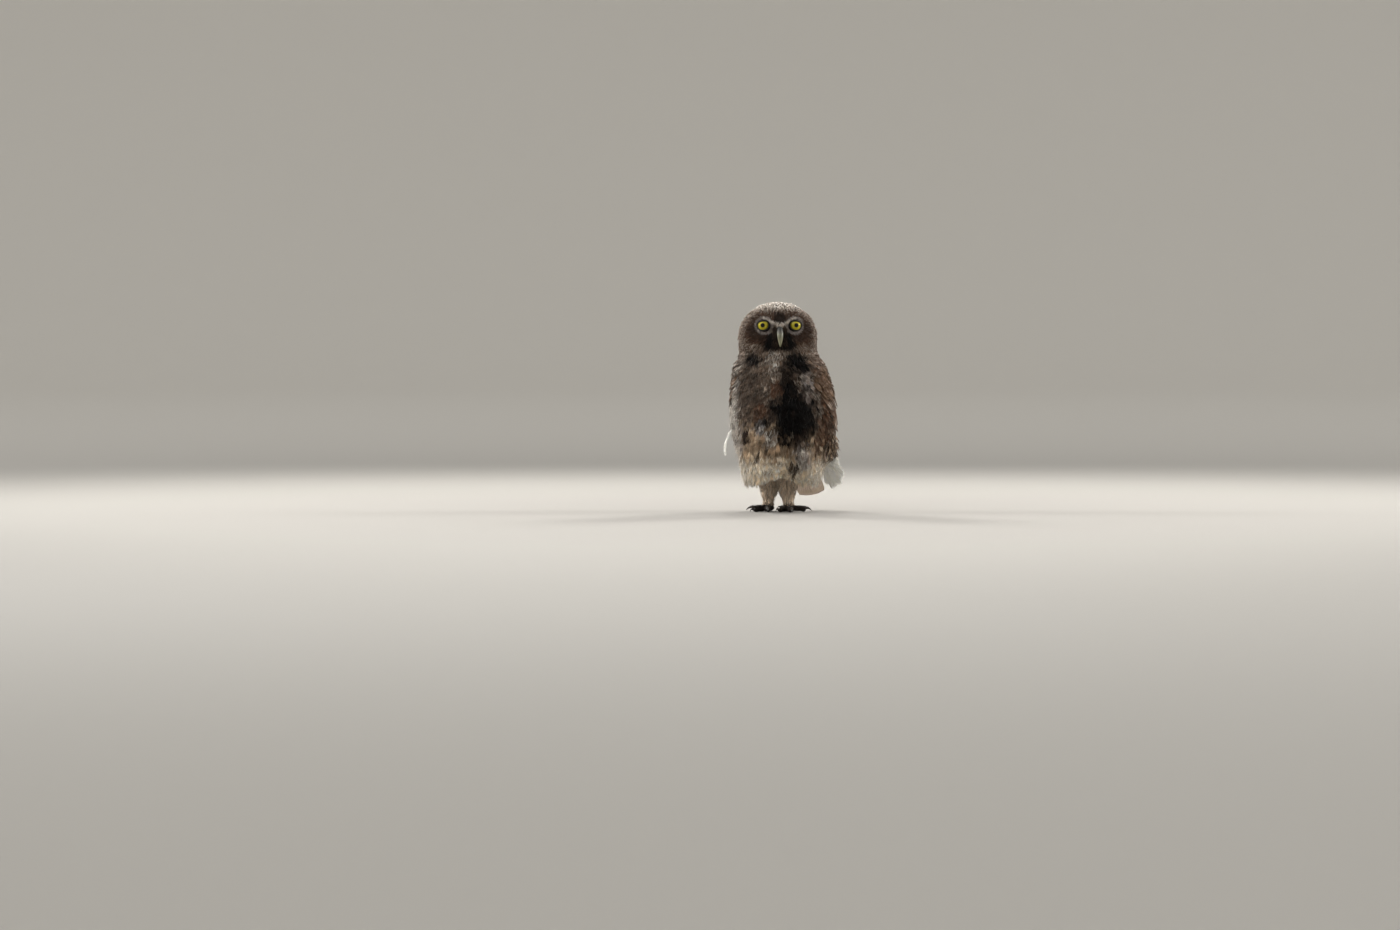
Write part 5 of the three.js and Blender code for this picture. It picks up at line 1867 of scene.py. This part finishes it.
@dataclass
class Wing:
    """A folded wing: long flight feathers under tiers of coverts."""

    side: Side
    seed: int

    def lie(self, row: Row) -> Lie:
        """Lays a row's feathers along the wing."""
        share = np.linspace(0, 1, row.count)[:, None]
        root, tip = (mix(*np.array(ends, float)[:, None], share) for ends in (row.roots, row.tips))
        draw = np.random.default_rng(self.seed + len(row.name))
        loose = 0.5 if row.flight else 1.8
        root = root + draw.normal(0, loose, root.shape)
        tip = tip + draw.normal(0, loose, tip.shape) * np.array([1.1, 1.3])
        run = np.linspace(0, 1, 13)
        height, bearing = np.moveaxis(root[:, None] + (tip - root)[:, None] * run[None, :, None], -1, 0)
        off = mix(row.rise[0], row.rise[1], run)[None] + 0.12 * np.arange(row.count)[:, None] / row.count
        off = off + draw.normal(0, 0.05 if row.flight else 0.25, (row.count, 1)) * run
        points = WING_WRAP.off(height, bearing, off)
        over = WING_WRAP.outward(height, bearing)
        if self.side is Side.RIGHT:
            points, over = mirrored(WING_WRAP, points), over * np.array([-1, 1, 1])
        return Lie.through(points, over)

    def looks(self, row: Row, spots: Array) -> Array:
        """Paints a row: brown with pale marks, greyer and paler towards the front border."""
        _, bearing = WING_WRAP.bearing(spots)
        front = 1 - smooth(4, 20, np.abs(bearing) - wing_edges(spots[:, 2])[0])
        draw = np.random.default_rng(self.seed + 7 + len(row.name))
        tint = np.clip(draw.normal(1, 0.1 if row.flight else 0.22, (len(spots), 1)), 0.5, 1.5)
        ground = mix(Tone.BARK.colour, Tone.ASH.colour, (front * 0.6)[:, None]) * tint
        mark = row.mark.colour * draw.normal(0.9, 0.1, (len(spots), 1))
        pattern = np.tile(np.array(row.pattern, float), (len(spots), 1))
        pattern[:, 1] *= draw.uniform(0.1, 1, len(spots))
        pattern[:, 0] = draw.uniform(0, 0.06, len(spots)) if row.flight else pattern[:, 0]
        return dressed(ground, mark, pattern)

    def build(self, vane: Finish, flight: Finish) -> list[Piece]:
        """Builds the flight feathers and the coverts."""
        wing = f"wing_{self.side.word}"
        quills = Coat(f"{wing}_flight_feathers", flight, "wing", *LARGE)
        coverts = Coat(f"{wing}_coverts", vane, "wing", *SMALL)
        draw = np.random.default_rng(self.seed + 3)
        for row in WING_ROWS:
            lie = self.lie(row)
            width = np.full(row.count, row.width) * draw.normal(1, 0.04, row.count)
            roll = row.roll * self.side.value + draw.normal(0, 0.015 if row.flight else 0.06, row.count)
            sway = draw.normal(0, 0.5, row.count)
            coat, stamp, thick = (quills, FLIGHT, 0.34) if row.flight else (coverts, COVERT, 0.4)
            looks = self.looks(row, lie.points[:, 8])
            coat.grow(stamp, lie, looks, width, thick, width**2 / 400 + 0.25, roll, sway, Tone.ASH.colour)
        return [quills.build(wing), coverts.build()]


@dataclass
class Tail(Drawn):
    """The tail: barred feathers that fan from one root, over loose white undertail coverts."""

    count: int = 12

    def __post_init__(self) -> None:
        """Starts the draws and measures the tail."""
        super().__post_init__()
        self.root, self.along, self.across, self.over, self.length = tail_frame()

    def straight(self, turn: Array, start: Array, end: Array, out: Array) -> Lie:
        """Lays feathers straight from the root, fanned by degrees."""
        angle = np.radians(turn)[:, None, None]
        run = mix(start[:, None], end[:, None], np.linspace(0, 1, 9))[..., None]
        way = np.cos(angle) * self.along + np.sin(angle) * self.across
        points = self.root + run * way + out[:, None, None] * self.over
        return Lie.through(points, np.broadcast_to(self.over, points.shape))

    def build(self, vane: Finish, flight: Finish) -> list[Piece]:
        """Builds the tail."""
        place = np.arange(self.count) - (self.count - 1) / 2
        outer = np.abs(place)
        end = self.length + 3.6 - 0.12 * outer**1.6
        lie = self.straight(1.8 * place, np.full(self.count, 8.0), end, -0.28 * outer)
        roll = -0.09 * np.sign(place) * np.sign(np.dot(np.cross(self.along, self.over), self.across))
        looks = dressed(Tone.BARK.colour * 1.15, Tone.CREAM.colour, (0, 0, 0.15))
        quills = Coat("tail_feathers", flight, "tail", *LARGE)
        under = mix(Tone.PINK.colour, Tone.WHITE.colour, 0.4)
        quills.grow(FLIGHT, lie, looks, 9.4, 0.4, 0.3, roll, under=under)
        cover = Coat("tail_coverts", vane, "tail", *SMALL)
        self.coverts(cover)
        return [quills.build("tail"), cover.build()]

    def coverts(self, coat: Coat) -> None:
        """Adds brown coverts above the tail's base and long white ones under it."""
        draw = self.draw
        brown = dressed(Tone.BARK.colour, Tone.BUFF.colour, (0, 0.12, 0.25))
        white = dressed(Tone.CREAM.colour * 1.05, Tone.WHITE.colour, (0, 0, 0.5))
        for above, count, low, high in ((True, 34, 16, 40), (False, 90, 14, 50)):
            start = draw.uniform(low, high - 14, count)
            end = start + draw.uniform(15, 20, count)
            spread = draw.uniform(-1, 1, count)
            out = np.full(count, 2.0) if above else -3.4 - 2.2 * (1 - spread**2) + 0.6 * draw.random(count)
            lie = self.straight(spread * 14, start, np.minimum(end, 60), out)
            roll, sway = draw.normal(0, 0.1, count), draw.normal(0, 0.8, count)
            if above:
                coat.grow(COVERT, lie, brown, 8.0, 0.35, 0.48, roll, sway)
            else:
                coat.grow(RAGGED, Lie(lie.points, -lie.over, -lie.across), white, 5.5, 0.35, 0.33, roll, sway)


FROND_TIPS = ((51, 30, 45), (59, 31.5, 37), (62, 31.5, 29.5), (57, 31.5, 26), (51, 30.5, 22), (44.5, 27, 27))
FROND_ROOTS = ((38, 22, 62), (33, 20, 54))
LOOSE_PLUME = ((86, -2.0), (81, 5.0), (70, 12.5), (57, 16.3))  # height and distance off the right flank
LOOSE_BEARING = -79


@dataclass
class Plumes(Drawn):
    """The white plumes of the left flank and the loose one at the right."""

    frond_count: int = 18

    def barbs(self, coat: Coat, curve: Curve, facing: Array, width: float, count: int, slant: float) -> None:
        """Adds barbs along both sides of a curve, fanned towards its tip.

        Args:
            coat: The piece that they are added to.
            curve: The plume's shaft.
            facing: The way that its flat side faces.
            width: How wide it spreads.
            count: Barbs in all.
            slant: Degrees between shaft and barbs.
        """
        draw = self.draw
        share = draw.uniform(0.02, 0.86, count)
        side = np.where(draw.random(count) < 0.5, -1.0, 1.0)
        shaft, along = curve.at(share), curve.along(share)
        aside = unit(np.cross(along, facing)) * side[:, None]
        size = np.linalg.norm(curve.values[-1] - curve.values[0])
        angle = np.radians(slant * draw.uniform(0.1, 1.15, count))
        left = (1 - share) * size / np.maximum(np.cos(angle), 0.5)
        reach = np.minimum(width / 2 / np.maximum(np.sin(angle), 0.25), left)
        reach = np.maximum(reach, 2.5) * draw.uniform(0.7, 1.2, count)
        run = np.linspace(0, 1, 5)[None, :, None]
        way = along * np.cos(angle)[:, None] + aside * np.sin(angle)[:, None]
        points = shaft[:, None] + way[:, None] * reach[:, None, None] * run
        points = points - aside[:, None] * (0.08 * reach)[:, None, None] * run**2
        points = points + facing * (draw.normal(0, 0.3 * min(1, width / 4), count))[:, None, None] * run
        lie = Lie.through(points, np.broadcast_to(facing, points.shape))
        sway = draw.normal(0, 0.06, count) * reach
        roll = draw.normal(0, 0.3, count)
        ground = np.clip(Tone.WHITE.colour * draw.normal(1, 0.05, (count, 1)) * 1.1, 0, 0.92)
        coat.grow(LOCK, lie, dressed(ground, ground, (0, 0, 0)), 0.6, 0.22, 0.0, roll, sway)

    def build(self, finish: Finish) -> list[Piece]:
        """Builds the plumes."""
        white = Coat("flank_plumes", finish, "breast")
        draw = self.draw
        tips, roots = Curve(FROND_TIPS), Curve(FROND_ROOTS)
        for share in np.linspace(0, 1, self.frond_count):
            root = roots.at(np.clip(share + draw.normal(0, 0.1), 0, 1)) + draw.normal(0, 0.8, 3)
            tip = mix(root, tips.at(share), draw.uniform(0.86, 1.0))
            middle = (root + tip) / 2 + np.array([draw.uniform(0.5, 2.5), 0, draw.uniform(1.5, 4.0)])
            late = mix(middle, tip, 0.5) + np.array([0.4, 0, 0.6])
            curve = Curve([root, mix(root, middle, 0.55), middle, late, tip])
            facing = unit(np.array([0.3, -1, 0.2]) + draw.normal(0, 0.25, 3))
            self.barbs(white, curve, facing, draw.uniform(4.5, 7.5), 110, 20)
        loose = Coat("loose_plume", finish, "breast")
        places = [BODY.point(z, LOOSE_BEARING) - ASIDE * off for z, off in LOOSE_PLUME]
        self.barbs(loose, Curve(places), unit(np.array([-0.3, -1, 0.3])), 3.6, 220, 13)
        return [white.build(), loose.build()]


@dataclass
class LegCoat(Drawn):
    """The short loose feathers of the legs and the bristles of the toes."""

    skin: Skin
    spacing: float = 1.3

    def roots(self, low: float, high: float, near: float, far: float) -> Array:
        """Scatters roots between two heights and two distances from the nearer ankle's upright axis."""

        def where(p: Array) -> Array:
            """Tells which places are wanted."""
            off = np.hypot(np.abs(p[:, 0]) - ANKLE[0] * 0.95, p[:, 1] - ANKLE[1])
            return (p[:, 2] > low) & (p[:, 2] < high) & (off > near) & (off < far)

        return self.skin.scatter(where, lambda p: np.full(len(p), self.spacing), self.draw)

    def build(self, vane: Finish) -> list[Piece]:
        """Builds both legs' feathers and the toes' bristles."""
        draw = self.draw
        roots = self.roots(8, 48, -1, 13)
        count, height = len(roots), roots[:, 2]
        length = mix(4.0, 9.5, smooth(8, 30, height)) * draw.normal(1, 0.12, count)
        length = np.minimum(length, np.maximum(2.2, height - 5))
        tip = mix(1.0, 5.2, smooth(12, 38, height)) + draw.normal(0, 0.35, count)
        rise = np.stack([np.full(count, -0.5), 0.85 * tip, 0.9 * tip], axis=1)
        lie = follow_skin(self.skin.tree, roots, lambda p, n: unit(n * n[:, 2:] - UP), length, rise)
        width = draw.normal(1.5, 0.2, count)
        roll, sway = draw.normal(0, 0.2, count), draw.normal(0, 0.1, count) * length
        upper = mix(Tone.PINK.colour, Tone.IVORY.colour, 0.7) * 1.12
        ground = mix(Tone.BUFF.colour, upper, smooth(6, 15, height)[:, None])
        ground = ground * draw.normal(1, 0.12, (count, 1))
        legs = Coat("coat_legs", vane, "leg")
        looks = dressed(ground, Tone.WHITE.colour, (0, 0, 0.5))
        legs.grow(LOCK, lie, looks, width, 0.3, 0.15 * width, roll, sway)
        return [legs.build(), self.toe_bristles(vane)]

    def toe_bristles(self, vane: Finish) -> Piece:
        """Builds the sparse bristles over the toes."""
        draw = self.draw
        roots = self.roots(2.4, 9, 5, 999)
        count = len(roots)
        centre = np.stack([np.sign(roots[:, 0]) * ANKLE[0], np.full(count, ANKLE[1]), roots[:, 2]], axis=1)
        away = unit(roots - centre)
        length = draw.uniform(2.2, 3.4, count)
        tip = draw.uniform(0.25, 0.8, count)
        rise = np.stack([np.full(count, -0.3), 0.6 * tip, tip], axis=1)

        def flow(p: Array, n: Array) -> Array:
            """Points the bristles away from the ankle."""
            return unit(away - n * np.sum(away * n, axis=1, keepdims=True))

        lie = follow_skin(self.skin.tree, roots, flow, length, rise)
        sway = draw.normal(0, 0.2, count)
        # Painted shade: the toe bristles are painted dark brown, for the shade that the toes lie in.
        ground = mix(Tone.UMBER.colour, Tone.ASH.colour, draw.random((count, 1)) ** 2)
        toes = Coat("coat_toes", vane, "toe")
        toes.grow(STRAND, lie, dressed(ground, ground, (0, 0, 0)), 0.42, 0.24, sway=sway)
        return toes.build()


@dataclass
class Eye:
    """An eye with its lids."""

    side: Side

    def __post_init__(self) -> None:
        """Works out the eye's turn."""
        look = Vector(HEAD.eye_axis(self.side))
        self.turn = np.array(Vector((0, 0, 1)).rotation_difference(look).to_matrix())
        self.centre = HEAD.eye_centre(self.side)

    def bulged(self, sphere: Array) -> Array:
        """Shapes the eyeball, whose cornea bulges slightly, from a sphere."""
        swell = 1 + 0.035 * smooth(0.62, 0.95, sphere[:, 2]) - 0.03 * (1 - smooth(0.3, 0.6, sphere[:, 2]))
        return HEAD.out(sphere * (HEAD.eye_radius * swell)[:, None] @ self.turn.T + self.centre)

    def ball(self, wet: Finish) -> Piece:
        """Models the eyeball."""
        mesh = bmesh.new()
        add_ball(mesh, 64, 48, self.bulged)
        layer = mesh.loops.layers.uv.new("Gaze")
        for face in mesh.faces:
            for loop in face.loops:
                flat = self.turn.T @ (HEAD.local(np.array(loop.vert.co)) - self.centre) / 7.0
                loop[layer].uv = (0.5 + 0.5 * flat[0], 0.5 + 0.5 * flat[1])
        return finished(f"eye_{self.side.word}_ball", mesh, wet, "eye", f"eye_{self.side.word}")

    def lids(self, mesh: Net) -> None:
        """Adds the two lids' rim, a wrinkled ring whose upper half sits lower than a full circle."""
        made = bmesh.ops.create_grid(mesh, x_segments=96, y_segments=12, size=1)["verts"]
        a, b, _ = math.pi * vertices_of(made).T
        up = np.sin(a)
        inner = -self.side.value * np.cos(a)
        arch = np.where(up > 0, np.abs(up) ** 0.8 * (0.87 - 0.05 * inner), up)
        ripple = 1 + 0.06 * np.sin(36 * a) * smooth(-0.2, 0.6, np.cos(b))
        tube = (0.82 + 0.25 * np.maximum(up, 0)) * ripple
        x, y = 6.3 * np.cos(a), 5.3 * arch
        level = np.sqrt(49.5 - (x**2 + y**2)) + 0.45 + 1.15 * tube * np.sin(b) - 0.12 * tube * np.cos(b)
        place = np.stack([x + tube * np.cos(b) * np.cos(a), y + tube * np.cos(b) * up, level], axis=1)
        place_vertices(made, HEAD.out(place @ self.turn.T + self.centre))
        bmesh.ops.remove_doubles(mesh, verts=made, dist=0.01)


class Bill:
    """The hooked bill with its two halves and nostrils."""

    def upper_width(self, t: float) -> float:
        """Gives the upper half's half width: narrow at the root and drawn in to the hook."""
        narrow = 0.62 + 0.38 * float(smooth(0.12, 0.46, t))
        return narrow * 3.404 * ((1 - 0.1 * t) if t < 0.5 else 0.95 * (1 - ((t - 0.5) / 0.54) ** 1.7))

    def upper(self, horn: Finish) -> Piece:
        """Models the upper half."""
        curve = Curve([(0, -24, 9.8), (0, -31.5, 8.4), (0, -36.6, 3.3), (0, -38.8, -2.5), (0, -38.4, -10.2)])
        mesh = bmesh.new()
        add_tube(
            mesh, curve, self.upper_width, lambda t: 0.485 * (8.6 * (1 - 0.12 * t - 0.86 * t**2.2) + 0.3),
            ASIDE, 40, 36, pointed=True,
        )
        places = vertices_of(mesh.verts)
        places[:, 1] -= bump(places[:, 0], 0.9) * 0.35 * (places[:, 1] < -31)
        for side in Side:
            far = np.linalg.norm(places - np.array([side.value * 2.9, -33.2, 6.2]), axis=1)
            places[:, 0] -= side.value * 1.1 * bump(far, 1.0)
        place_vertices(mesh.verts, HEAD.out(places))
        return finished("bill_upper_horn", mesh, horn, "bill", "bill_upper")

    def lower(self, horn: Finish) -> Piece:
        """Models the lower half."""
        curve = Curve([(0, -22, -1), (0, -29, -2.4), (0, -34.0, -4.6), (0, -36.2, -7.8)])
        mesh = bmesh.new()
        add_tube(
            mesh, curve, lambda t: 0.48 * mix(6.2, 2.0, t * t), lambda t: 0.46 * mix(4.6, 1.6, t),
            ASIDE, 20, 24,
        )
        place_vertices(mesh.verts, HEAD.out(vertices_of(mesh.verts)))
        return finished("bill_lower_horn", mesh, horn, "bill", "bill_lower")


@dataclass(frozen=True)
class Lamp:
    """A soft light: its direction from the owl, distance and size in metres, power and colour."""

    name: str
    azimuth: float
    elevation: float
    distance: float
    size: float
    power: float
    colour: tuple[float, float, float] = (1.0, 1.0, 1.0)
    spread: float = 180.0  # degrees


WARM = (1.0, 0.97, 0.92)
LAMPS = (
    Lamp("key", -20, 40, 2.4, 1.6, 14),
    Lamp("fill", 65, 20, 2.4, 1.6, 3),
    Lamp("left edge", 114, 20, 3.0, 0.8, 4.6, WARM, 44),
    Lamp("right edge", -78, 20, 3.0, 0.8, 4.6, WARM, 44),
    Lamp("left rim", 158, 34, 3.0, 0.8, 5.0, WARM, 44),
    Lamp("right rim", -124, 34, 3.0, 0.8, 5.0, WARM, 44),
    Lamp("back", 198, 50, 3.0, 0.8, 3.0, WARM, 44),
)


@dataclass
class Studio:
    """The pale floor that curves up into a wall, the soft lights and the camera."""

    floor_radius: float = 6.0  # metres
    curve: float = 2.0  # radius of the curve up into the wall
    wall: float = 5.5
    azimuth: float = 18.0  # degrees, of the camera
    elevation: float = 2.0
    distance: float = 5.376
    aim: tuple[float, float] = (-79.9, 47.6)  # millimetres aside and up of the picture's middle
    lens: float = 135.0
    surround: float = 0.75

    def build(self) -> None:
        """Builds the studio."""
        self.floor()
        for lamp in LAMPS:
            self.lamp(lamp)
        world = bpy.data.worlds.new("surround")
        world.use_nodes = True
        glow = world.node_tree.nodes["Background"].inputs
        glow["Color"].default_value = (1.0, 0.975, 0.94, 1.0)
        glow["Strength"].default_value = self.surround
        bpy.context.scene.world = world
        self.camera()
        bpy.context.scene.view_settings.view_transform = "Standard"

    def floor(self) -> None:
        """Draws the floor and wall out from a disc."""
        mesh = bmesh.new()
        bend = [(self.floor_radius + self.curve * math.sin(a), self.curve * (1 - math.cos(a)))
                for a in np.radians(np.arange(9, 91, 9))]
        rows = [(0.02, 0), (0.3, 0), (1.5, 0), (4.0, 0), (self.floor_radius, 0), *bend]
        turns = np.linspace(0, 2 * math.pi, 96, endpoint=False)
        circle = np.stack([np.cos(turns), np.sin(turns), 0 * turns], axis=1)
        rows.append((self.floor_radius + self.curve, self.wall))
        extrude_rings(mesh, [circle * radius + UP * (height - 0.0002) for radius, height in rows])
        data = bpy.data.meshes.new("studio_floor")
        bmesh.ops.recalc_face_normals(mesh, faces=mesh.faces[:])
        mesh.to_mesh(data)
        mesh.free()
        data.materials.append(FloorFinish().material())
        data.shade_smooth()
        floor = bpy.data.objects.new("studio_floor", data)
        bpy.context.scene.collection.objects.link(floor)

    def hang(
        self, name: str, data: bpy.types.ID, aim: Vector, azimuth: float, elevation: float, far: float
    ) -> Piece:
        """Places a lamp or the camera so that it looks at a place.

        Args:
            name: Its name.
            data: The lamp or camera.
            aim: The place.
            azimuth: Its direction from there, degrees from the front.
            elevation: Degrees above the horizon.
            far: Its distance.

        Returns:
            The object.
        """
        turn, lift = math.radians(azimuth), math.radians(elevation)
        way = Vector((math.sin(turn) * math.cos(lift), -math.cos(turn) * math.cos(lift), math.sin(lift)))
        made = bpy.data.objects.new(name, data)
        made.location = aim + way * far
        made.rotation_euler = way.to_track_quat("Z", "Y").to_euler()
        bpy.context.scene.collection.objects.link(made)
        return made

    def lamp(self, lamp: Lamp) -> None:
        """Hangs a light that is aimed at the owl."""
        data = bpy.data.lights.new(lamp.name, "AREA")
        data.shape = "DISK"
        data.size = lamp.size
        data.energy = lamp.power
        data.color = lamp.colour
        data.spread = math.radians(lamp.spread)
        made = self.hang(lamp.name, data, Vector((0, 0, 0.11)), lamp.azimuth, lamp.elevation, lamp.distance)
        made.visible_camera = False

    def camera(self) -> None:
        """Places the camera at the photo's angle and framing."""
        turn = math.radians(self.azimuth)
        aside, up = self.aim
        aim = Vector(packed(np.array([aside * math.cos(turn), aside * math.sin(turn), up])))
        data = bpy.data.cameras.new("camera")
        data.lens = self.lens
        data.sensor_width = 36
        data.clip_end = 100
        bpy.context.scene.camera = self.hang("camera", data, aim, self.azimuth, self.elevation, self.distance)


@dataclass
class Owl:
    """The whole owl, built part by part."""

    seed: int = SEED

    def __post_init__(self) -> None:
        """Mixes the finishes."""
        tree = barb_group()
        flight = PlumageFinish("flight feathers", 60.0, 0.16, 0.25, 0.6, 0.05, bars=4.5)
        plume = PlumageFinish("white plumes", 12.0, depth=0.15, sheen=0.2, shade=(0.95, 0.15, 1.0))
        self.vane = PlumageFinish("plumage").material(tree)
        self.flight, self.plume = flight.material(tree), plume.material(tree)
        self.bare = SkinFinish().material()
        self.bill = HornFinish("bill horn", 0x100E0B, 0x56543F, 0x74725A, 0.174, 0.1865, 0.44, 0.1).material()
        self.claw = HornFinish("claw horn", 0x241C16, 0x15110E, 0x0D0B0A, 0.0, 0.004, 0.32, 0.35).material()
        self.eye = EyeFinish().material()
        self.lid = WrinkledFinish("lid skin", 0x080706, 0x15110E, 2200.0, 0.6, 0.35).material()
        # Painted shade: the toe scales are painted near black, for the shade that the toes lie in.
        self.scale = WrinkledFinish("toe scales", 0x15110F, 0x3A2E27, 1300.0, 0.5, 0.5).material()

    def build(self) -> None:
        """Builds every part and reports it."""
        painter, skin, seed = Plumage(self.seed), Skin(), self.seed
        made = {
            "head": HeadCoat(seed + 1, skin, painter).build(self.vane),
            "body": BodyCoat(seed + 2, painter).build(self.vane, self.plume),
            "legs": LegCoat(seed + 3, skin).build(self.vane),
            "left wing": Wing(Side.LEFT, seed + 4).build(self.vane, self.flight),
            "right wing": Wing(Side.RIGHT, seed + 5).build(self.vane, self.flight),
            "tail": Tail(seed + 6).build(self.vane, self.flight),
            "plumes": Plumes(seed + 7).build(self.plume),
            "skin": [skin.build(self.bare, painter)],
            "eyes": [Eye(side).ball(self.eye) for side in Side],
            "lids": [self.both("lids", lambda side: Eye(side).lids, self.lid, "crown")],
            "bill": [Bill().upper(self.bill), Bill().lower(self.bill)],
            "claws": [claw for side in Side for claw in Leg(side).claws(self.claw)],
            "scutes": [self.both("toe_scutes", lambda side: Leg(side).scutes, self.scale, "toe")],
        }
        for part, pieces in made.items():
            for piece in pieces:
                triangles = sum(len(face.vertices) - 2 for face in piece.data.polygons)
                log.info("%s: %s, %d triangles", part, piece.name, triangles)

    def both(
        self, name: str, adder: Callable[[Side], Callable[[Net], None]], finish: Finish, slot: str
    ) -> Piece:
        """Models what both sides have as one piece.

        Args:
            name: The piece's name.
            adder: Gives the method that adds a side's form.
            finish: Its material.
            slot: The part of the owl that it dresses.

        Returns:
            The piece.
        """
        mesh = bmesh.new()
        for side in Side:
            adder(side)(mesh)
        return finished(name, mesh, finish, slot)


def main() -> None:
    """Builds the owl and its studio."""
    logging.basicConfig(level=logging.INFO, format="%(message)s")
    Owl().build()
    Studio().build()


if __name__ == "__main__":
    main()
